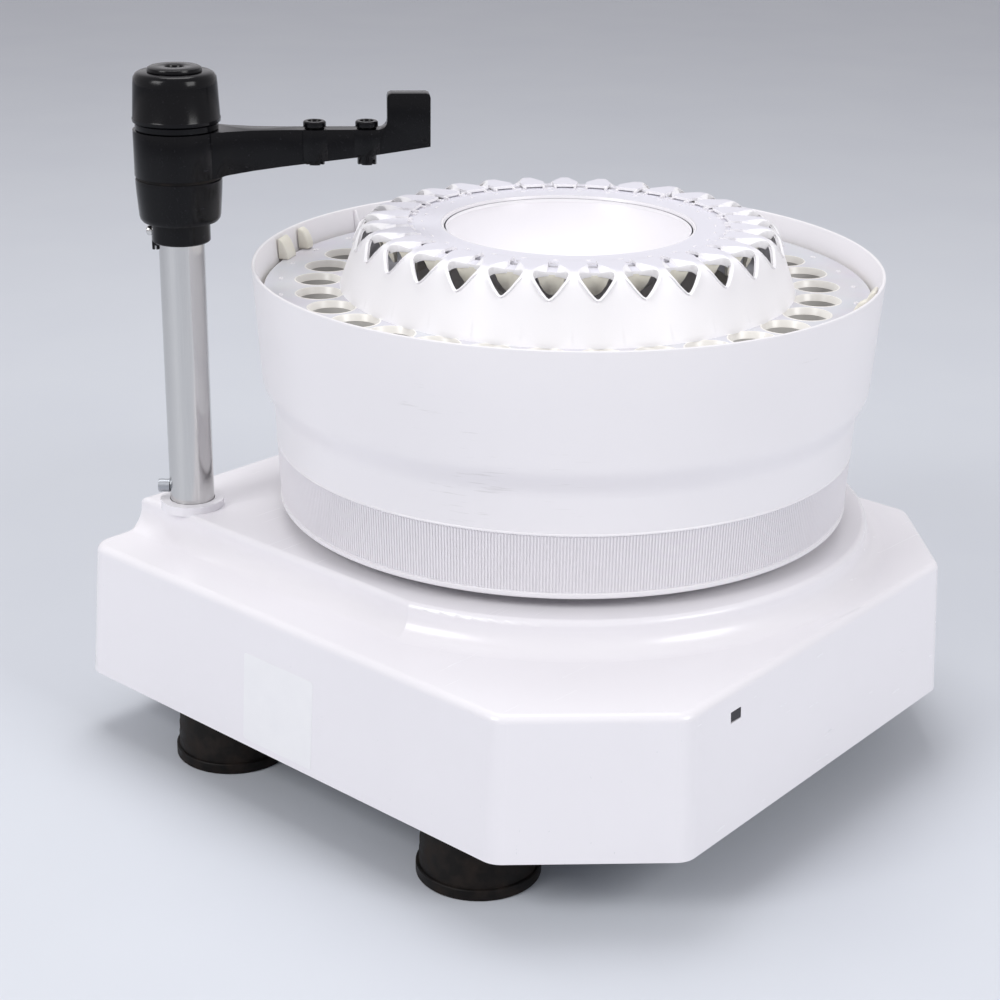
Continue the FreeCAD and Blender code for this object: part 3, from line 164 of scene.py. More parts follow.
tree.links.new(bump.outputs[0], shader.inputs["Normal"])


def dress(finish, *nodes):
    """Give carried parts of the frame their real finish."""
    for name in nodes:
        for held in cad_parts[name].material_slots:
            held.material = finish


dress(gloss_abs, "housing_shell")

# Label film. A clear rectangle of polyester film left on the left wall, 0.1 mm thick, stuck
# flat so that it leans in with the wall's draft. It carries nothing.
# Clear film: it only lifts the wall's tone a little and shines more evenly.
clear_film, tree, shader = start_finish("clear_polyester_film", "#F6F6F8", roughness=0.12, ior=1.5)
place = add(tree, "ShaderNodeTexCoord")
air = add(tree, "ShaderNodeTexNoise", {"Scale": 55, "Detail": 3},
          {"Vector": place.outputs["Object"]})
trapped = add(tree, "ShaderNodeMix", {"data_type": "RGBA", 6: srgb("#F1F1F4"), 7: srgb("#FAFAFB")},
              {0: air.outputs["Fac"]})
tree.links.new(trapped.outputs[2], shader.inputs["Base Color"])


def finish_piece(piece, finish, body, angle=35):
    """Smooth a piece's curved faces, give it its finish and let it ride on its body."""
    bpy.ops.object.select_all(action="DESELECT")
    piece.select_set(True)
    bpy.context.view_layer.objects.active = piece
    bpy.ops.object.shade_smooth_by_angle(angle=math.radians(angle))
    piece.data.materials.clear()
    piece.data.materials.append(finish)
    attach(piece, body)


def apply_modifier(piece, kind, **settings):
    """Put a modifier on a piece, set it and apply it."""
    change = piece.modifiers.new(kind.title(), kind)
    for key, value in settings.items():
        setattr(change, key, value)
    bpy.context.view_layer.update()
    bpy.ops.object.select_all(action="DESELECT")
    piece.select_set(True)
    bpy.context.view_layer.objects.active = piece
    bpy.ops.object.modifier_apply(modifier=change.name)


def round_off(piece, width, segments=2, angle=40):
    """Round the edges of a piece that are sharper than an angle, width in mm."""
    apply_modifier(piece, "BEVEL", width=width / 1000, segments=segments, limit_method="ANGLE",
                   angle_limit=math.radians(angle), use_clamp_overlap=True)


shell_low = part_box("housing_shell")[0]
lean = math.tan(math.radians(3))       # the draft of the housing's walls
film_low, film_high, film_width, film_start = 0.037, 0.084, 0.05, 0.0025
film_stands_out = 0.00006
bpy.ops.object.select_all(action="DESELECT")
bpy.ops.mesh.primitive_plane_add(size=0.001, location=(0, 0, 0))
film = bpy.context.object
film.name = "label_film"
bpy.ops.object.mode_set(mode="EDIT")
bpy.ops.mesh.merge(type="CENTER")
wall_x = shell_low.x + (film_low - shell_low.z) * lean - film_stands_out
bpy.ops.transform.translate(value=(wall_x, film_start, film_low))
bpy.ops.mesh.extrude_vertices_move(
    TRANSFORM_OT_translate={"value": ((film_high - film_low) * lean, 0, film_high - film_low)})
bpy.ops.mesh.select_all(action="SELECT")
bpy.ops.mesh.extrude_edges_move(TRANSFORM_OT_translate={"value": (0, film_width, 0)})
bpy.ops.mesh.select_all(action="SELECT")
bpy.ops.mesh.bevel(affect="VERTICES", offset=0.0015, segments=4)
bpy.ops.mesh.normals_make_consistent(inside=False)
bpy.ops.object.mode_set(mode="OBJECT")
apply_modifier(film, "SOLIDIFY", thickness=0.0001, offset=0)
finish_piece(film, clear_film, "base")

# Feet. Four tall turned buffers of dark natural rubber under the base plate, each with a
# lip on the bench, a thin groove above it and moulding rings up its side.
# Vulcanised rubber: brown-black and nearly matt, paler where it has picked up dust.
rubber, tree, shader = start_finish("vulcanised_rubber", "#151211", roughness=0.55, ior=1.52)
place = add(tree, "ShaderNodeTexCoord")
dust = add(tree, "ShaderNodeTexNoise", {"Scale": 120, "Detail": 6},
           {"Vector": place.outputs["Object"]})
band = add(tree, "ShaderNodeMapRange", {"From Min": 0.42, "From Max": 0.8},
           {0: dust.outputs["Fac"]})
shade = add(tree, "ShaderNodeMix", {"data_type": "RGBA", 6: srgb("#0F0D0C"), 7: srgb("#2B2420")},
            {0: band.outputs[0]})
rough = add(tree, "ShaderNodeMapRange", {"To Min": 0.42, "To Max": 0.8}, {0: band.outputs[0]})
shader.inputs["Specular IOR Level"].default_value = 0.15
grain = add(tree, "ShaderNodeTexNoise", {"Scale": 1400, "Detail": 2},
            {"Vector": place.outputs["Object"]})
bump = add(tree, "ShaderNodeBump", {"Strength": 0.25, "Distance": 0.0002},
           {"Height": grain.outputs["Fac"]})
tree.links.new(shade.outputs[2], shader.inputs["Base Color"])
tree.links.new(rough.outputs[0], shader.inputs["Roughness"])
tree.links.new(bump.outputs[0], shader.inputs["Normal"])


def lathe(name, foot, profile, steps=192):
    """Spin a profile of radius and height in mm about an upright axis that starts at foot."""
    bpy.ops.object.select_all(action="DESELECT")
    bpy.ops.mesh.primitive_plane_add(size=0.001, location=(0, 0, 0))
    piece = bpy.context.object
    piece.name = name
    bpy.ops.object.mode_set(mode="EDIT")
    bpy.ops.mesh.merge(type="CENTER")
    first = profile[0]
    bpy.ops.transform.translate(value=foot + Vector((first[0], 0, first[1])) / 1000)
    for before, after in zip(profile, profile[1:]):
        move = Vector((after[0] - before[0], 0, after[1] - before[1])) / 1000
        bpy.ops.mesh.extrude_vertices_move(TRANSFORM_OT_translate={"value": move})
    bpy.ops.mesh.select_all(action="SELECT")
    bpy.ops.mesh.spin(steps=steps, angle=math.tau, center=foot, axis=(0, 0, 1))
    bpy.ops.mesh.select_all(action="SELECT")
    bpy.ops.mesh.remove_doubles(threshold=0.00001)
    bpy.ops.mesh.normals_make_consistent(inside=False)
    bpy.ops.object.mode_set(mode="OBJECT")
    return piece


def stands_at(node):
    """The middle of a carried part's box, at the height of its lowest point."""
    low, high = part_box(node)
    return Vector(((low.x + high.x) / 2, (low.y + high.y) / 2, low.z))


ring_heights = (7.2, 12, 12.6, 18, 18.6, 24, 24.6, 30, 30.6)
for node in ("foot_front_left", "foot_back_left", "foot_front_right", "foot_back_right"):
    side = [(29.2 - height * 0.05 + (0.35 if turn % 2 else 0), height)
            for turn, height in enumerate(ring_heights)]
    foot = lathe(node + "_rubber", stands_at(node), [
        (22, 0), (30, 0), (30.5, 0.6), (30.5, 5.4), (30, 6), (28.9, 6), (28.9, 7)] + side + [
        (27.8, 34.5), (3, 34.5), (3, 28.5), (22, 28.5), (22, 0)], steps=72)
    round_off(foot, 0.35, 2)
    finish_piece(foot, rubber, "base")
    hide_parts(node)

# Base plate and fixings. A zinc-plated steel sheet closes the housing from below, and
# zinc-plated screws hold it and the feet.
# Zinc-plated steel: bluish grey, half dull, with a fine rolled grain along one way.
zinc_plate, tree, shader = start_finish("zinc_plated_steel", "#A9ADB2", metallic=1, roughness=0.42)
place = add(tree, "ShaderNodeTexCoord")
roll = add(tree, "ShaderNodeMapping", {"Scale": (30, 1600, 1600)},
           {"Vector": place.outputs["Object"]})
grain = add(tree, "ShaderNodeTexNoise", {"Scale": 1, "Detail": 3}, {"Vector": roll.outputs[0]})
rough = add(tree, "ShaderNodeMapRange", {"To Min": 0.32, "To Max": 0.52},
            {0: grain.outputs["Fac"]})
shade = add(tree, "ShaderNodeMix", {"data_type": "RGBA", 6: srgb("#9FA3A8"), 7: srgb("#B6BABF")},
            {0: grain.outputs["Fac"]})
bump = add(tree, "ShaderNodeBump", {"Strength": 0.08, "Distance": 0.0001},
           {"Height": grain.outputs["Fac"]})
tree.links.new(rough.outputs[0], shader.inputs["Roughness"])
tree.links.new(shade.outputs[2], shader.inputs["Base Color"])
tree.links.new(bump.outputs[0], shader.inputs["Normal"])
dress(zinc_plate, "base_plate", "foot_screws", "base_screws", "motor_bracket", "motor_screws",
      "post_lock_screw")

# Post. A drawn stainless steel tube, 23.5 mm across, polished lengthwise, that stands in a
# turned aluminium socket under the deck.
# Polished stainless steel: a warm light grey metal with sharp upright bands of reflection.
stainless, tree, shader = start_finish("polished_stainless_steel", "#CFCFCE", metallic=1,
                                       roughness=0.16)
place = add(tree, "ShaderNodeTexCoord")
draw = add(tree, "ShaderNodeMapping", {"Scale": (2600, 2600, 26)},
           {"Vector": place.outputs["Object"]})
grain = add(tree, "ShaderNodeTexNoise", {"Scale": 1, "Detail": 4}, {"Vector": draw.outputs[0]})
rough = add(tree, "ShaderNodeMapRange", {"To Min": 0.11, "To Max": 0.24},
            {0: grain.outputs["Fac"]})
shade = add(tree, "ShaderNodeMix", {"data_type": "RGBA", 6: srgb("#C4C4C4"), 7: srgb("#D6D5D3")},
            {0: grain.outputs["Fac"]})
bump = add(tree, "ShaderNodeBump", {"Strength": 0.06, "Distance": 0.0001},
           {"Height": grain.outputs["Fac"]})
tree.links.new(rough.outputs[0], shader.inputs["Roughness"])
tree.links.new(shade.outputs[2], shader.inputs["Base Color"])
tree.links.new(bump.outputs[0], shader.inputs["Normal"])
dress(stainless, "support_post", "spindle", "motor_shaft", "drive_pins", "lower_bearing",
      "upper_bearing")

# Inner metalwork. The bearing block, turntable, pulleys and post socket are turned from
# bar and anodised; they sit out of sight under the deck.
# Anodised aluminium: pale satin grey with fine rings from the lathe.
anodised, tree, shader = start_finish("anodised_aluminium", "#B9BCC0", metallic=1, roughness=0.34)
place = add(tree, "ShaderNodeTexCoord")
rings = add(tree, "ShaderNodeTexWave", {"wave_type": "RINGS", "rings_direction": "Z", "Scale": 320,
                                        "Distortion": 0.4}, {"Vector": place.outputs["Object"]})
rough = add(tree, "ShaderNodeMapRange", {"To Min": 0.28, "To Max": 0.4},
            {0: rings.outputs["Fac"]})
bump = add(tree, "ShaderNodeBump", {"Strength": 0.05, "Distance": 0.0001},
           {"Height": rings.outputs["Fac"]})
tree.links.new(rough.outputs[0], shader.inputs["Roughness"])
tree.links.new(bump.outputs[0], shader.inputs["Normal"])
dress(anodised, "bearing_block", "turntable", "spindle_pulley", "motor_pulley", "post_socket",
      "board_standoffs", "power_supply")

# Drive and electrics. A black motor, a rubber belt, a slotted disc with its fork, a green
# circuit board, and two sockets in the back wall.
# Black nylon and paint: dark, half matt, with the fine grain of the mould or the spray.
black_nylon, tree, shader = start_finish("moulded_black_nylon", "#1C1C1E", roughness=0.45, ior=1.53)
place = add(tree, "ShaderNodeTexCoord")
grain = add(tree, "ShaderNodeTexNoise", {"Scale": 900, "Detail": 3},
            {"Vector": place.outputs["Object"]})
rough = add(tree, "ShaderNodeMapRange", {"To Min": 0.36, "To Max": 0.56},
            {0: grain.outputs["Fac"]})
bump = add(tree, "ShaderNodeBump", {"Strength": 0.2, "Distance": 0.0001},
           {"Height": grain.outputs["Fac"]})
tree.links.new(rough.outputs[0], shader.inputs["Roughness"])
tree.links.new(bump.outputs[0], shader.inputs["Normal"])
dress(black_nylon, "drive_motor", "encoder_disc", "position_sensor", "power_inlet",
      "signal_socket")
dress(rubber, "drive_belt", "tube_mat")
# Solder mask on glass fibre: deep green, glossy, with copper tracks just showing.
solder_mask, tree, shader = start_finish("green_solder_mask", "#1F5A38", roughness=0.3, ior=1.5)
place = add(tree, "ShaderNodeTexCoord")
tracks = add(tree, "ShaderNodeTexBrick",
             {"Scale": 160, "Mortar Size": 0.03, "Color1": srgb("#1F5A38"),
              "Color2": srgb("#1B5133"), "Mortar": srgb("#3D7A4C")},
             {"Vector": place.outputs["Object"]})
tree.links.new(tracks.outputs["Color"], shader.inputs["Base Color"])
dress(solder_mask, "control_board")

# Status window. A smoked acrylic window, 8 by 5 mm, set just behind the front wall, with a
# small indicator lamp behind it.
# Smoked acrylic: almost black, with a hard clear shine and a faint violet cast.
smoked, tree, shader = start_finish("smoked_acrylic", "#19161C", roughness=0.08, ior=1.49)
place = add(tree, "ShaderNodeTexCoord")
haze = add(tree, "ShaderNodeTexNoise", {"Scale": 300, "Detail": 2},
           {"Vector": place.outputs["Object"]})
shade = add(tree, "ShaderNodeMix", {"data_type": "RGBA", 6: srgb("#151217"), 7: srgb("#241F28")},
            {0: haze.outputs["Fac"]})
tree.links.new(shade.outputs[2], shader.inputs["Base Color"])
dress(smoked, "status_window")
# Diffused red epoxy: the unlit red of an indicator lamp.
red_epoxy, tree, shader = start_finish("red_lamp_epoxy", "#7A1418", roughness=0.3, ior=1.5)
place = add(tree, "ShaderNodeTexCoord")
haze = add(tree, "ShaderNodeTexNoise", {"Scale": 700, "Detail": 2},
           {"Vector": place.outputs["Object"]})
shade = add(tree, "ShaderNodeMix", {"data_type": "RGBA", 6: srgb("#6C1014"), 7: srgb("#8A1A1E")},
            {0: haze.outputs["Fac"]})
tree.links.new(shade.outputs[2], shader.inputs["Base Color"])
dress(red_epoxy, "status_light")

# Bowl. A deep drum moulded in white polypropylene, 330 mm across the rim. Its wall swells
# at a shoulder, and its rim is rounded. It lifts off the turntable.
# Satin polypropylene: soft white, a broad low shine, scuffed grey here and there.
satin_pp, tree, shader = start_finish("satin_polypropylene", "#F0F0F3", roughness=0.36, ior=1.49)
place = add(tree, "ShaderNodeTexCoord")
cloud = add(tree, "ShaderNodeTexNoise", {"Scale": 7, "Detail": 5},
            {"Vector": place.outputs["Object"]})
shade = add(tree, "ShaderNodeMix", {"data_type": "RGBA", 6: srgb("#F4F2F5"), 7: srgb("#ECEAED")},
            {0: cloud.outputs["Fac"]})
# Scuffs up to 20 mm long and half a millimetre wide that run round the wall.
slant = add(tree, "ShaderNodeMapping", {"Rotation": (0.1, 0.15, 0.7), "Scale": (40, 60, 900)},
            {"Vector": place.outputs["Object"]})
scuff = add(tree, "ShaderNodeTexNoise", {"Scale": 1, "Detail": 3}, {"Vector": slant.outputs[0]})
patch = add(tree, "ShaderNodeTexNoise", {"Scale": 14, "Detail": 2},
            {"Vector": place.outputs["Object"]})
both = add(tree, "ShaderNodeMath", {"operation": "MULTIPLY"},
           {0: scuff.outputs["Fac"], 1: patch.outputs["Fac"]})
mark = add(tree, "ShaderNodeMapRange", {"From Min": 0.41, "From Max": 0.47, "To Max": 0.35},
           {0: both.outputs[0]})
wear_and_shade = add(tree, "ShaderNodeMix", {"data_type": "RGBA", 7: srgb("#C9C7C6")},
           {0: mark.outputs[0], 6: shade.outputs[2]})
rough = add(tree, "ShaderNodeMapRange", {"To Min": 0.3, "To Max": 0.44},
            {0: cloud.outputs["Fac"]})
skin = add(tree, "ShaderNodeTexNoise", {"Scale": 600, "Detail": 2},
           {"Vector": place.outputs["Object"]})
bump = add(tree, "ShaderNodeBump", {"Strength": 0.05, "Distance": 0.0002},
           {"Height": skin.outputs["Fac"]})
tree.links.new(wear_and_shade.outputs[2], shader.inputs["Base Color"])
tree.links.new(rough.outputs[0], shader.inputs["Roughness"])
tree.links.new(bump.outputs[0], shader.inputs["Normal"])

drum = stands_at("outer_bowl")
floor_foot, floor_top = 6, 9
hub_hole, skirt = 26.5, 149
outside = [(151.2, 0), (152.3, 0.3), (152.7, 1), (152.7, 2.6), (151.8, 3), (153.1, 33),
           (154.2, 33.2), (154.2, 33.9), (153.9, 34.3), (154.9, 52)]
for turn in range(1, 9):
    ease = turn / 8
    outside.append((154.9 + 6.1 * (3 * ease ** 2 - 2 * ease ** 3), 52 + 18 * ease))
outside += [(163, 98.9), (164.95, 126.8), (164.8, 127.4), (164.4, 127.7)]
inside = [(163.7, 127.7), (163.3, 127.4), (163.1, 126.8), (161.4, 115), (160.9, 110.3),
          (160.6, 106.4), (158.6, 106.4), (158.4, 110), (157.3, 110), (157.3, 106), (160.2, 102),
          (158.1, 71.5), (152.1, 52), (150.0, 33), (skirt, floor_top)]


def add_cylinder(name, centre, radius, height, sides=48):
    """Add an upright bar, used to cut or join, radius and height in mm, centre in metres."""
    bpy.ops.object.select_all(action="DESELECT")
    bpy.ops.mesh.primitive_cylinder_add(vertices=sides, radius=radius / 1000, depth=height / 1000,
                                        location=centre)
    bpy.ops.object.transform_apply(location=True, rotation=True, scale=True)
    bpy.context.object.name = name
    return bpy.context.object


def combine(piece, tool, operation="DIFFERENCE"):
    """Cut a tool from a piece, join it or keep what they share, and remove the tool."""
    apply_modifier(piece, "BOOLEAN", operation=operation, object=tool, solver="EXACT")
    bpy.data.objects.remove(tool)


def ring_of(piece, count, foot):
    """Repeat a piece evenly around an upright axis and leave it as one mesh."""
    pivot = bpy.data.objects.new("pivot", None)
    bpy.context.collection.objects.link(pivot)
    pivot.matrix_world = (Matrix.Translation(foot) @ Matrix.Rotation(math.tau / count, 4, "Z")
                          @ Matrix.Translation(-foot))
    apply_modifier(piece, "ARRAY", count=count, use_relative_offset=False, use_object_offset=True,
                   offset_object=pivot)
    bpy.data.objects.remove(pivot)


bowl = lathe("bowl_wall", drum, outside + inside + [
    (hub_hole, floor_top), (hub_hole, floor_foot), (skirt, floor_foot), (skirt, 0),
    outside[0]], 256)
pins_at, pin_fit, pin_count = 0.07, 4.3, 3      # holes for the drive pins of the turntable
pin_hole = add_cylinder("pin_hole", drum + Vector((pins_at, 0, 0)), pin_fit, 20)
ring_of(pin_hole, pin_count, drum)
combine(bowl, pin_hole)
finish_piece(bowl, satin_pp, "bowl", 28)
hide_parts("outer_bowl")

# Grip ribs. Fine upright ribs moulded around the foot of the drum, 1.57 mm apart, that a
# hand turns it by. One rib is a bar with its outer corners cut back.
bpy.ops.object.select_all(action="DESELECT")
bpy.ops.mesh.primitive_cube_add(size=1, location=(0, 0, 0))
ribs = bpy.context.object
ribs.name = "bowl_grip_ribs"
bpy.ops.object.mode_set(mode="EDIT")
bpy.ops.transform.resize(value=(0.0011, 0.00078, 0.0291))
bpy.ops.object.mode_set(mode="OBJECT")
rib_count = 612
rib_leaves = 0.0015 / 0.030     # how much the band leans out on the way up
for corner in ribs.data.vertices:
    corner.co.y *= 0.45 if corner.co.x > 0 else 1
    corner.co.x += corner.co.z * rib_leaves
    corner.co += drum + Vector((0.1526, 0, 0.0181))
ring_of(ribs, rib_count, drum)
finish_piece(ribs, satin_pp, "bowl", 20)

# Latches and gussets. Two sprung latches on the wall hold the tube tray down, each a cream
# pad with a rounded thumb piece beside it. Two small gussets stiffen the rim.
# Natural acetal: creamy white and slightly waxy. The cradles wear it too, and there the cream is
# painted light.
acetal, tree, shader = start_finish("natural_acetal", "#ECE9DD", roughness=0.34, ior=1.48)
place = add(tree, "ShaderNodeTexCoord")
cloud = add(tree, "ShaderNodeTexNoise", {"Scale": 90, "Detail": 4},
            {"Vector": place.outputs["Object"]})
shade = add(tree, "ShaderNodeMix", {"data_type": "RGBA", 6: srgb("#EFEDE4"), 7: srgb("#E2DDCB")},
            {0: cloud.outputs["Fac"]})
tree.links.new(shade.outputs[2], shader.inputs["Base Color"])


def block(name, low, high):
    """Add a box between two corners in mm with its place in its mesh."""
    bpy.ops.object.select_all(action="DESELECT")
    bpy.ops.mesh.primitive_cube_add(size=1, location=(0, 0, 0))
    piece = bpy.context.object
    piece.name = name
    low, high = Vector(low) / 1000, Vector(high) / 1000
    bpy.ops.object.mode_set(mode="EDIT")
    bpy.ops.transform.resize(value=high - low)
    bpy.ops.transform.translate(value=(low + high) / 2)
    bpy.ops.object.mode_set(mode="OBJECT")
    return piece


def carry(piece, spot, degrees=0):
    """Turn a piece about the origin's upright axis and move it, in its mesh."""
    piece.data.transform(Matrix.Translation(spot) @ Matrix.Rotation(math.radians(degrees), 4, "Z"))


def slab(name, outline, low, high, upright):
    """Extrude a closed outline in mm, drawn flat or upright, from low to high."""
    bpy.ops.object.select_all(action="DESELECT")
    bpy.ops.mesh.primitive_plane_add(size=0.001, location=(0, 0, 0))
    piece = bpy.context.object
    piece.name = name

    def spot(point):
        if upright:
            return Vector((point[0], low, point[1])) / 1000
        return Vector((point[0], point[1], low)) / 1000
    bpy.ops.object.mode_set(mode="EDIT")
    bpy.ops.mesh.merge(type="CENTER")
    bpy.ops.transform.translate(value=spot(outline[0]))
    for before, after in zip(outline, outline[1:]):
        bpy.ops.mesh.extrude_vertices_move(
            TRANSFORM_OT_translate={"value": spot(after) - spot(before)})
    bpy.ops.mesh.select_all(action="SELECT")
    bpy.ops.mesh.edge_face_add()
    thick = (high - low) / 1000
    bpy.ops.mesh.extrude_region_move(
        TRANSFORM_OT_translate={"value": (0, thick, 0) if upright else (0, 0, thick)})
    bpy.ops.mesh.select_all(action="SELECT")
    bpy.ops.mesh.normals_make_consistent(inside=False)
    bpy.ops.object.mode_set(mode="OBJECT")
    return piece


latch_side, gusset_side = 115.6, 89.5      # degrees about the drum
pad_side = [(161.2, 115), (161.7, 126.4), (160.4, 126.2), (158.6, 124.4), (157.2, 121.6),
            (156, 118.4), (155.2, 115)]
thumb_side = [(161.2, 115), (161.7, 126.6), (160, 126.6), (157.4, 125), (155.8, 122.4),
              (154.6, 119.4), (154.2, 117), (154.8, 115)]
latch = slab("tray_latch_pads", pad_side, -6, 6, True)
round_off(latch, 0.9, 3, 50)
thumb = slab("thumb", thumb_side, -3, 3, True)
round_off(thumb, 1.6, 4, 50)
carry(thumb, Vector((0, 0, 0)), -8)


def join_to(piece, *others):
    """Join other pieces to a piece as one mesh."""
    bpy.ops.object.select_all(action="DESELECT")
    for part in (*others, piece):
        part.select_set(True)
    bpy.context.view_layer.objects.active = piece
    bpy.ops.object.join()


join_to(latch, thumb)
carry(latch, drum, latch_side)
ring_of(latch, 2, drum)
finish_piece(latch, acetal, "bowl")
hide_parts("tray_latches")

gusset = block("rim_gussets", (156.5, -0.7, 115.2), (162, 0.7, 126.6))
for corner in gusset.data.vertices:
    if corner.co.x < 0.16 and corner.co.z > 0.12:       # the inner edge slopes out to a point
        corner.co.x = 0.1610
round_off(gusset, 0.3, 2)
carry(gusset, drum, gusset_side)
ring_of(gusset, 2, drum)
finish_piece(gusset, satin_pp, "bowl")

# Tube tray. A grey-white polystyrene plate that drops into the bowl, with thirty funnel
# mouths for large tubes, a sleeve under each, and a small oval mark at each by the wall.
# Moulded polystyrene, with painted shade: level faces are painted cool grey and upright ones a
# little cream, by how light falls on them.
polystyrene, tree, shader = start_finish("moulded_polystyrene", "#E3E3E8", roughness=0.32, ior=1.58)
place = add(tree, "ShaderNodeTexCoord")
shape = add(tree, "ShaderNodeNewGeometry")
split = add(tree, "ShaderNodeSeparateXYZ", {}, {0: shape.outputs["Normal"]})
# Painted shade: level faces, picked by their normal, get the cool grey and upright faces the lit
# cream.
level = add(tree, "ShaderNodeMapRange", {"From Min": 0.55, "From Max": 0.95},
            {0: split.outputs["Z"]})
shade = add(tree, "ShaderNodeMix", {"data_type": "RGBA", 6: srgb("#F0EDE2"), 7: srgb("#D9D9DF")},
            {0: level.outputs[0]})
cloud = add(tree, "ShaderNodeTexNoise", {"Scale": 40, "Detail": 4},
            {"Vector": place.outputs["Object"]})
# Painted shade: soft darker clouds multiplied over the tray's colour.
wear_and_shade = add(tree, "ShaderNodeMix", {"data_type": "RGBA", "blend_type": "MULTIPLY", 0: 0.12},
           {6: shade.outputs[2], 7: cloud.outputs["Color"]})
rough = add(tree, "ShaderNodeMapRange", {"To Min": 0.26, "To Max": 0.42},
            {0: cloud.outputs["Fac"]})
tree.links.new(wear_and_shade.outputs[2], shader.inputs["Base Color"])
tree.links.new(rough.outputs[0], shader.inputs["Roughness"])
dress(satin_pp, "centre_column")
# The same plastic where light shines through the funnels: brighter and a little cream.
funnel_ps, tree, shader = start_finish("bright_polystyrene", "#F2F0EA", roughness=0.3, ior=1.58)
place = add(tree, "ShaderNodeTexCoord")
cloud = add(tree, "ShaderNodeTexNoise", {"Scale": 80, "Detail": 3},
            {"Vector": place.outputs["Object"]})
shade = add(tree, "ShaderNodeMix", {"data_type": "RGBA", 6: srgb("#F7F5F1"), 7: srgb("#EDEAE2")},
            {0: cloud.outputs["Fac"]})
tree.links.new(shade.outputs[2], shader.inputs["Base Color"])
# The guide plate below is moulded in a duller grey, and lies in shade.
grey_ps, tree, shader = start_finish("grey_polystyrene", "#C8C6C3", roughness=0.5, ior=1.58)
place = add(tree, "ShaderNodeTexCoord")
cloud = add(tree, "ShaderNodeTexNoise", {"Scale": 50, "Detail": 3},
            {"Vector": place.outputs["Object"]})
shade = add(tree, "ShaderNodeMix", {"data_type": "RGBA", 6: srgb("#CDCBC8"), 7: srgb("#C2C0BC")},
            {0: cloud.outputs["Fac"]})
tree.links.new(shade.outputs[2], shader.inputs["Base Color"])
dress(grey_ps, "tube_guide")

tray_top = (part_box("tube_tray")[1].z - drum.z) * 1000
tray = lathe("tube_tray_plate", drum, [
    (88, tray_top - 5), (158.8, tray_top - 5), (158.9, tray_top - 0.4), (158.5, tray_top),
    (88, tray_top), (88, tray_top - 5)], 240)
stations = 30
station = drum + Vector((0.131, 0, 0))
mouth = 12.1
mouths = lathe("mouths", station, [
    (0, tray_top - 9), (mouth, tray_top - 9), (mouth, tray_top + 4), (0, tray_top + 4)], 48)
ring_of(mouths, stations, drum)
combine(tray, mouths)
finish_piece(tray, polystyrene, "bowl")
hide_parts("tube_tray")
lips = lathe("tray_funnel_lips", station, [
    (mouth, tray_top - 1), (12.8, tray_top - 0.1), (12.5, tray_top + 0.15), (12, tray_top + 0.15),
    (11.8, tray_top - 0.1), (11.2, tray_top - 2.9), (10.9, tray_top - 3.3), (11.4, tray_top - 3.6),
    (mouth, tray_top - 3.4), (mouth, tray_top - 1)], steps=48)
ring_of(lips, stations, drum)
finish_piece(lips, funnel_ps, "bowl")
sleeves = lathe("tray_sleeves", station, [
    (11.2, tray_top - 3.4), (12, tray_top - 3.4), (12, tray_top - 14), (11.2, tray_top - 14),
    (11.2, tray_top - 3.4)], steps=40)
ring_of(sleeves, stations, drum)
finish_piece(sleeves, grey_ps, "bowl")
dots = lathe("tray_station_marks", Vector((0, 0, drum.z)), [
    (0.5, tray_top - 0.2), (1.3, tray_top - 0.2), (1.2, tray_top + 0.3), (0.9, tray_top + 0.45),
    (0.6, tray_top + 0.3), (0.5, tray_top - 0.2)], steps=14)
for corner in dots.data.vertices:
    corner.co.y *= 1.6      # the marks are oval
carry(dots, Vector((drum.x + 0.1508, drum.y, 0)))
ring_of(dots, stations, drum)
finish_piece(dots, satin_pp, "bowl")

# Crown. A thin domed rack, moulded in grey-white polypropylene, that stands on the tray.
# Thirty keyhole openings for small tubes cut its brow into petals, each with a slope into
# its hole. One sector is laid out on the dome's own profile, and a ring of 30 makes it.
# Crown polypropylene, with painted shade as on the tray: level faces are painted lavender grey and
# the slopes whiter, by how light falls on them.
crown_pp, tree, shader = start_finish("domed_polypropylene", "#ECECEF", roughness=0.38, ior=1.49)
place = add(tree, "ShaderNodeTexCoord")
shape = add(tree, "ShaderNodeNewGeometry")
split = add(tree, "ShaderNodeSeparateXYZ", {}, {0: shape.outputs["Normal"]})
# Painted shade: level faces, picked by their normal, get the lavender grey and slopes the lit
# white.
level = add(tree, "ShaderNodeMapRange", {"From Min": 0.8, "From Max": 0.99},
            {0: split.outputs["Z"]})
shade = add(tree, "ShaderNodeMix", {"data_type": "RGBA", 6: srgb("#FBFAFC"), 7: srgb("#E0DFE8")},
            {0: level.outputs[0]})
cloud = add(tree, "ShaderNodeTexNoise", {"Scale": 60, "Detail": 4},
            {"Vector": place.outputs["Object"]})
rough = add(tree, "ShaderNodeMapRange", {"To Min": 0.3, "To Max": 0.48},
            {0: cloud.outputs["Fac"]})
skin = add(tree, "ShaderNodeTexNoise", {"Scale": 800, "Detail": 2},
           {"Vector": place.outputs["Object"]})
bump = add(tree, "ShaderNodeBump", {"Strength": 0.06, "Distance": 0.0002},
           {"Height": skin.outputs["Fac"]})
tree.links.new(shade.outputs[2], shader.inputs["Base Color"])
tree.links.new(rough.outputs[0], shader.inputs["Roughness"])
tree.links.new(bump.outputs[0], shader.inputs["Normal"])

top = (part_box("crown_rack")[1].z - drum.z) * 1000
brow, bend, slope = 100.8, 9, math.radians(20.15)     # end of the level top, bend, side's lean
arc = bend * (math.pi / 2 - slope)


def along(radius):
    """How far out a radius lies, measured along the dome's profile."""
    if radius <= brow:
        return radius - brow
    if radius <= brow + bend * math.cos(slope):
        return bend * math.asin((radius - brow) / bend)
    return arc + (radius - brow - bend * math.cos(slope)) / math.sin(slope)


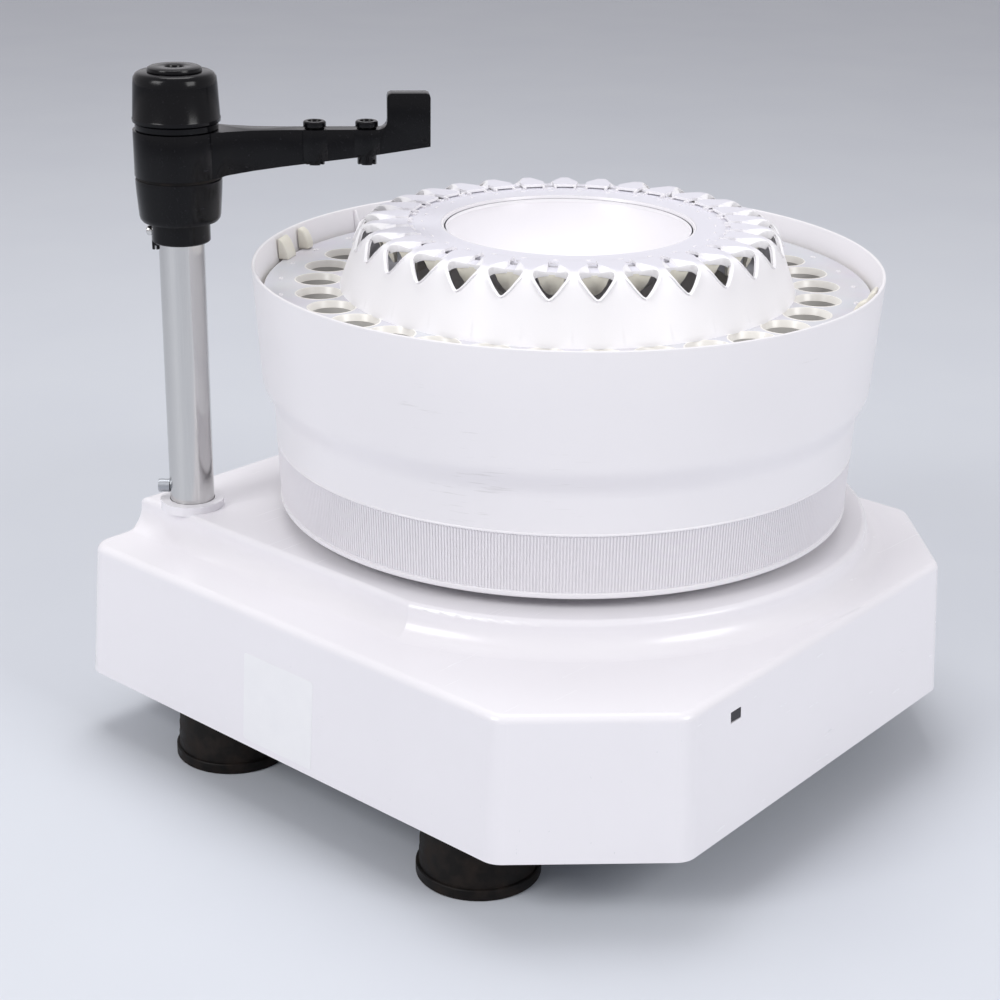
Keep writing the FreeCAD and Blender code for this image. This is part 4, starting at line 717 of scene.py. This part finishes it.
def on_dome(run, angle, drop=0):
    """The point of the dome at a distance along its profile and an angle about its axis."""
    if run <= 0:
        radius, height = brow + run, top
    elif run <= arc:
        radius = brow + bend * math.sin(run / bend)
        height = top - bend + bend * math.cos(run / bend)
    else:
        radius = brow + bend * math.cos(slope) + (run - arc) * math.sin(slope)
        height = top - bend + bend * math.sin(slope) - (run - arc) * math.cos(slope)
    return drum + Vector((radius * math.cos(angle), radius * math.sin(angle), height - drop)) / 1000


# Each column runs from the hole's edge over the brink of its slope to the sector's edge. It has
# radius, half-width and drop at the hole and at the brink, then radius, angle and drop outside.
turn_6 = math.radians(6)
columns = [
    (97.5, 0, 2.6, 91.0, 0, 2.25, 90.4, 0, 2.2),
    (97.6, 1.2, 2.6, 91.0, 1.2, 2.25, 90.4, 1.2 / 90.4, 2.2),
    (98.2, 2.4, 2.55, 91.2, 2.4, 2.2, 90.4, 2.45 / 90.4, 2.2),
    (98.3, 2.6, 2.5, 91.4, 2.6, 0, 90.4, 2.65 / 90.4, 0),
    (98.9, 3.5, 2.3, 92.4, 3.3, 0, 87.3, 2.6 / 87.3, 0),
    (99.6, 4.5, 2.0, 94.0, 4.2, 0, 84, 2.6 / 84, 0),
    (100.4, 5.5, 1.7, 95.9, 5.3, 0, 84, 5.5 / 84, 0),
    (101.3, 6.5, 1.4, 97.8, 6.5, 0, 84, turn_6, 0),
    (102.4, 7.4, 1.0, 99.8, 7.6, 0, 88.5, turn_6, 0),
    (103.7, 8.1, 0.6, 102.0, 8.6, 0, 93, turn_6, 0),
    (105.1, 8.5, 0.2, 104.6, 9.1, 0, 97.5, turn_6, 0),
    (106.3, 8.4, 0, 106.5, 9.0, 0, 101.5, turn_6, 0),
    (107.3, 7.95, 0, 107.6, 8.5, 0, 104.5, turn_6, 0),
    (108.2, 7.2, 0, 108.6, 7.7, 0, 107.5, turn_6, 0),
    (108.9, 6.3, 0, 109.4, 6.8, 0, 109.5, turn_6, 0),
    (109.5, 5.2, 0, 110.1, 5.7, 0, 112.5, turn_6, 0),
    (110.15, 3.9, 0, 110.8, 4.4, 0, 116, turn_6, 0),
    (110.8, 2.3, 0, 111.5, 2.8, 0, 119.6, turn_6, 0),
    (111.3, 1.0, 0, 112.1, 1.3, 0, 119.6, turn_6 / 2, 0),
    (111.5, 0, 0, 112.4, 0, 0, 119.6, 0, 0)]
rows = 7
collar = 4.6                    # how far a hole's upright collar hangs below the dome
collar_from, lip_from = 105.5, 107     # the radii where the collar ends and a thin lip starts
paths = []
for side in (1, -1):
    for hole_r, hole_w, drop, brink_r, brink_w, sunk, edge_r, edge_a, edge_drop in (
            columns if side == 1 else columns[-2:0:-1]):
        start = (along(hole_r), side * hole_w / hole_r)
        brink = (along(brink_r), side * brink_w / brink_r)
        edge = (along(edge_r), side * edge_a)
        under = collar if hole_r < collar_from else drop + (0.5 if hole_r > lip_from else 1.5)
        path = [on_dome(*start, under), on_dome(*start, drop)]
        path.append(on_dome((start[0] + brink[0]) / 2, (start[1] + brink[1]) / 2,
                            (drop * 0.9 + sunk) / 2))
        for row in range(rows + 1):
            part = row / rows
            path.append(on_dome(brink[0] + (edge[0] - brink[0]) * part,
                                brink[1] + (edge[1] - brink[1]) * part,
                                sunk + (edge_drop - sunk) * part))
        paths.append(path)
points = [point for path in paths for point in path]
deep = len(paths[0])
faces = []
for column in range(len(paths)):
    after = (column + 1) % len(paths)
    for row in range(deep - 1):
        faces.append((column * deep + row, column * deep + row + 1, after * deep + row + 1,
                      after * deep + row))
mesh = bpy.data.meshes.new("crown_petals")
mesh.from_pydata(points, [], faces)
crown = bpy.data.objects.new("crown_petals", mesh)
bpy.context.collection.objects.link(crown)
ring_of(crown, stations, drum)
bpy.ops.object.mode_set(mode="EDIT")
bpy.ops.mesh.select_all(action="SELECT")
bpy.ops.mesh.remove_doubles(threshold=0.00002)
bpy.ops.mesh.normals_make_consistent(inside=False)
bpy.ops.object.mode_set(mode="OBJECT")
highest = max(crown.data.polygons, key=lambda face: face.center.z)
if highest.normal.z < 0:
    crown.data.flip_normals()
apply_modifier(crown, "SOLIDIFY", thickness=0.0015, offset=-1, use_even_offset=False)
round_off(crown, 0.22, 2, 50)
finish_piece(crown, crown_pp, "bowl", 32)
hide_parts("crown_rack")

# Crown ring. The level ring inside the petals carries the dish. A shallow slot at each
# station takes a tube's clip, with a tick on each side of it and a dash nearer the dish.
ring_top = top - 2.2
crown_ring = lathe("crown_ring", drum, [
    (64, ring_top - 1.5), (66.6, ring_top - 1.5), (66.6, ring_top), (86.7, ring_top),
    (86.7, ring_top - 1.3), (90.3, ring_top - 1.3), (90.3, ring_top - 2.6), (86, ring_top - 2.6),
    (64, ring_top - 3.7), (64, ring_top - 1.5)], steps=180)
slots = block("slots", (81.5, -2.4, ring_top - 1), (84, 2.4, ring_top + 3))
carry(slots, drum)
ring_of(slots, stations, drum)
combine(crown_ring, slots)
finish_piece(crown_ring, crown_pp, "bowl", 30)
ticks = block("crown_ticks", (81.4, 2.7, ring_top - 0.4), (84.9, 3.9, ring_top + 1.2))
other = block("other", (81.4, -3.9, ring_top - 0.4), (84.9, -2.7, ring_top + 1.2))
dash = block("dash", (76.0, -1.4, ring_top - 0.4), (77, 1.4, ring_top + 0.45))
join_to(ticks, other, dash)
round_off(ticks, 0.3, 2)
carry(ticks, drum)
ring_of(ticks, stations, drum)
finish_piece(ticks, satin_pp, "bowl")

# Cradles. Thirty shallow channels under the crown, one below each collar, lean small tubes
# outwards. Each is a tongue 1.4 mm thick with a rounded foot.
cradle = lathe("tube_cradles", Vector((0.1055, 0, 0)), [
    (7.9, 128), (9.3, 128), (9.3, top - 4), (7.9, top - 4), (7.9, 128)], steps=64)
half = [(6.7, 152), (6.6, 144.5), (5.4, 140.6), (3.6, 137.4), (1.8, 135.6)]
tongue = slab("tongue", [(-width, height) for width, height in half] + [(0, 135.1)] + half[::-1],
              -101.2, -92, True)
tongue.data.transform(Matrix.Rotation(math.radians(90), 4, "Z"))
combine(cradle, tongue, "INTERSECT")
round_off(cradle, 0.3, 2, 50)
carry(cradle, drum)
ring_of(cradle, stations, drum)
# Painted light: the cream on the cradles stands for white plastic in shade with light coming
# through it.
finish_piece(cradle, acetal, "bowl")
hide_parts("cradle_ring")

# Dish. A wide glossy bowl pressed into the crown's ring, where a hand reaches in to lift
# the rack out. Its rim lies flat on the ring.
# It has the housing's gloss, and is the whitest and shiniest face of the collector.
rim = (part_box("centre_dish")[1].z - drum.z) * 1000
floor = rim - 34.8
bowl_side = [(66.5, rim - 1.5), (66.5, rim - 0.1), (65.6, rim - 0.1)]
turns = 13
for turn in range(1, turns + 1):
    part = turn / turns
    bowl_side.append((65.6 - 41.6 * math.sin(part * 1.2) / math.sin(1.2) * (0.55 + 0.45 * part),
                      rim - 0.1 - 34.7 * (1 - (1 - part) ** 1.75)))
under = [(radius + 1.6, height - 1.9) for radius, height in bowl_side[::-1][:-2]]
dish = lathe("hand_dish", drum, bowl_side + [(0, floor)] + [(0, floor - 2.4)] + under
             + [(64.2, rim - 1.5), bowl_side[0]], steps=160)
finish_piece(dish, gloss_abs, "bowl", 40)
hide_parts("centre_dish")

# Clamp collar. A black collar grips the post below the head. A small forked tab hangs from
# it, beside the screw that draws it tight.
# Glossy black nylon: deep black with clear highlights, and fine scuffs from handling.
gloss_black, tree, shader = start_finish("glossy_black_nylon", "#08080B", roughness=0.2, ior=1.5)
shader.inputs["Specular IOR Level"].default_value = 0.2
place = add(tree, "ShaderNodeTexCoord")
cloud = add(tree, "ShaderNodeTexNoise", {"Scale": 45, "Detail": 5},
            {"Vector": place.outputs["Object"]})
slant = add(tree, "ShaderNodeMapping", {"Rotation": (0.8, 0.3, 0.6), "Scale": (60, 1500, 900)},
            {"Vector": place.outputs["Object"]})
scuff = add(tree, "ShaderNodeTexNoise", {"Scale": 1, "Detail": 2}, {"Vector": slant.outputs[0]})
line = add(tree, "ShaderNodeMapRange", {"From Min": 0.66, "From Max": 0.78},
           {0: scuff.outputs["Fac"]})
shade = add(tree, "ShaderNodeMix", {"data_type": "RGBA", 6: srgb("#08080B"), 7: srgb("#242428")},
            {0: line.outputs[0]})
rough = add(tree, "ShaderNodeMapRange", {"To Min": 0.1, "To Max": 0.26},
            {0: cloud.outputs["Fac"]})
bump = add(tree, "ShaderNodeBump", {"Strength": 0.05, "Distance": 0.0002},
           {"Height": cloud.outputs["Fac"]})
tree.links.new(shade.outputs[2], shader.inputs["Base Color"])
tree.links.new(rough.outputs[0], shader.inputs["Roughness"])
tree.links.new(bump.outputs[0], shader.inputs["Normal"])
dress(gloss_black, "head_sleeve")
post = Vector((stands_at("support_post").x, stands_at("support_post").y, drum.z))
clamp = lathe("clamp_collar_ring", post, [
    (12, 139.4), (14.4, 139.4), (15, 140), (15, 150), (12, 150), (12, 139.4)], steps=96)
ear = block("ear", (11.7, -2.6, 134.4), (15.3, 0.6, 150))
round_off(ear, 0.5, 3)
fork = block("fork", (13.1, -4, 133), (13.9, 2, 136.6))
combine(ear, fork)
screw_side = 132        # degrees about the post
carry(ear, post, screw_side)
combine(clamp, ear, "UNION")
finish_piece(clamp, gloss_black, "head", 30)
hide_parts("clamp_collar")

# Clamp screw. A nickel-plated pan head screw with a cross slot draws the collar tight.
screw = lathe("clamp_screw_head", Vector((0, 0, 0)), [
    (0, 10), (2, 10), (2, 14.8), (2.5, 14.8), (2.6, 15.2), (2.6, 16.6), (2.2, 17.4), (1.2, 17.9),
    (0, 18.1)], steps=48)
for low, high in (((-0.3, -1.8, 17), (0.3, 1.8, 20)), ((-1.8, -0.3, 17), (1.8, 0.3, 20))):
    combine(screw, block("slot", low, high))
screw.data.transform(Matrix.Rotation(math.radians(90), 4, "Y"))
carry(screw, post + Vector((0, 0, 0.1445)), screw_side)
finish_piece(screw, stainless, "grip_screw", 30)
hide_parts("clamp_screw")

# Head. A lower cup, the arm's hub, a neck and a lock knob are stacked on the post, all
# moulded in glossy black nylon, and a thin rubber washer shows between cup and hub.
cup = lathe("lower_cup_shell", post, [
    (12.2, 150), (17.8, 150), (19.4, 150.5), (20.4, 151.8), (20.8, 153.5), (21.7, 165), (22, 170.3),
    (22, 171.9), (21.6, 172.4), (12.2, 172.4), (12.2, 150)], steps=96)
finish_piece(cup, gloss_black, "head", 30)
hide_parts("lower_cup")
dress(rubber, "lower_washer")

# Arm. The hub swings about the post and carries a tapering beam that ends in a raised
# flag. Two round bosses in the beam hold the tubing.
hub_foot, hub_top, flag_foot, flag_tip = 174, 197.2, 106, 128
foot_bend = [(flag_foot - 4.2 + 4.2 * math.sin(math.radians(turn)),
              hub_top + 4.2 - 4.2 * math.cos(math.radians(turn))) for turn in (90, 68, 45, 22, 0)]
side_view = [(10, 174.2), (21, 174.2), (24, 175), (100, 184.1), (flag_tip, 188.3),
             (flag_tip, 213.2), (127.4, 214.8), (125.8, 215.4), (108.2, 215.4), (106.6, 214.8),
             (flag_foot, 213.2), *foot_bend, (10, hub_top)]
plan_view = [(0, -14), (18, -13.4), (26, -9.4), (38, -6.2), (52, -4.9), (128.5, -4.5), (128.5, 4.5),
             (52, 4.9), (38, 6.2), (26, 9.4), (18, 13.4), (0, 14)]
arm = slab("swing_arm", side_view, -16, 16, True)
plan = slab("plan", plan_view, 160, 230, False)
combine(arm, plan, "INTERSECT")
inner_reach, outer_reach, stretch = 69.3, 95.7, 1.25
for reach, foot_z in ((inner_reach, 181.4), (outer_reach, 184.6)):
    boss = add_cylinder("boss", (reach / 1000, 0, (foot_z + hub_top) / 2000), 7, hub_top - foot_z)
    for corner in boss.data.vertices:       # a boss is longer than it is wide
        corner.co.x = reach / 1000 + (corner.co.x - reach / 1000) * stretch
    combine(arm, boss, "UNION")
middle = (0, 0, (hub_foot + hub_top) / 2000)
combine(arm, add_cylinder("hub", middle, 22.2, hub_top - hub_foot, 96), "UNION")
combine(arm, add_cylinder("bore", middle, 13.2, 40, 96))
for reach in (inner_reach, outer_reach):
    combine(arm, add_cylinder("hole", (reach / 1000, 0, 0.1885), 5.2, 60, 32))
round_off(arm, 1.2, 3, 35)
arm_turn = -42.8        # degrees about the post, in the rest pose
carry(arm, post, arm_turn)
finish_piece(arm, gloss_black, "arm", 32)
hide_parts("dispenser_arm")

# Tubing holders. Two turned nylon sleeves sit in the bosses, each with a round head on top,
# a castellated foot below, and a bore for the tubing.
for node in ("outer_tubing_holder", "inner_tubing_holder"):
    low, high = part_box(node)
    axis = Vector(((low.x + high.x) / 2, (low.y + high.y) / 2, drum.z))
    base = (low.z - drum.z) * 1000
    sleeve = lathe(node + "_sleeve", axis, [
        (2.2, base), (4.9, base), (4.9, 197.9), (5.8, 198.2), (5.8, 200.4), (5.2, 201), (3.6, 201),
        (3.4, 199.8), (2.2, 199), (2.2, base)], steps=48)
    for half_x, half_y in ((0.9, 8), (8, 0.9)):
        notch = block("notch", (-half_x, -half_y, base - 2), (half_x, half_y, base + 2.6))
        carry(notch, axis)
        combine(sleeve, notch)
    round_off(sleeve, 0.25, 2)
    finish_piece(sleeve, gloss_black, "arm")
    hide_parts(node)

# Lock knob. It screws down on the neck to fix the arm. Its side is a smooth drum with a
# small lip below, a rounded top edge and a round cap with a dimple.
knob = lathe("lock_knob_drum", post, [
    (12.2, 201), (21.6, 201), (22.2, 201.5), (22.3, 203.1), (22, 203.7), (21.2, 220), (20.8, 223.4),
    (19.7, 225.2), (18.3, 226), (12.2, 226), (12.2, 201)], steps=96)
finish_piece(knob, gloss_black, "knob", 30)
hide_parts("lock_knob")
crest = (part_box("knob_cap")[1].z - drum.z) * 1000
cap = lathe("knob_cap_disc", post, [
    (0, 222), (12, 222), (12, 225.9), (13.4, 225.9), (13.8, 226.3), (13.8, crest - 1.4),
    (13.4, crest - 0.5), (12.4, crest), (5.4, crest), (4.7, crest - 0.4), (4.3, crest - 1.8),
    (3.6, crest - 2.6), (0, crest - 2.8)], steps=72)
finish_piece(cap, gloss_black, "knob", 30)
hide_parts("knob_cap")
neck = lathe("neck_collar", post, [
    (13.2, 197.3), (20.6, 197.3), (21, 197.8), (21, 200.4), (20.6, 200.9), (13.2, 200.9),
    (13.2, 197.3)], steps=96)
finish_piece(neck, gloss_black, "knob", 30)
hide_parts("neck_ring")
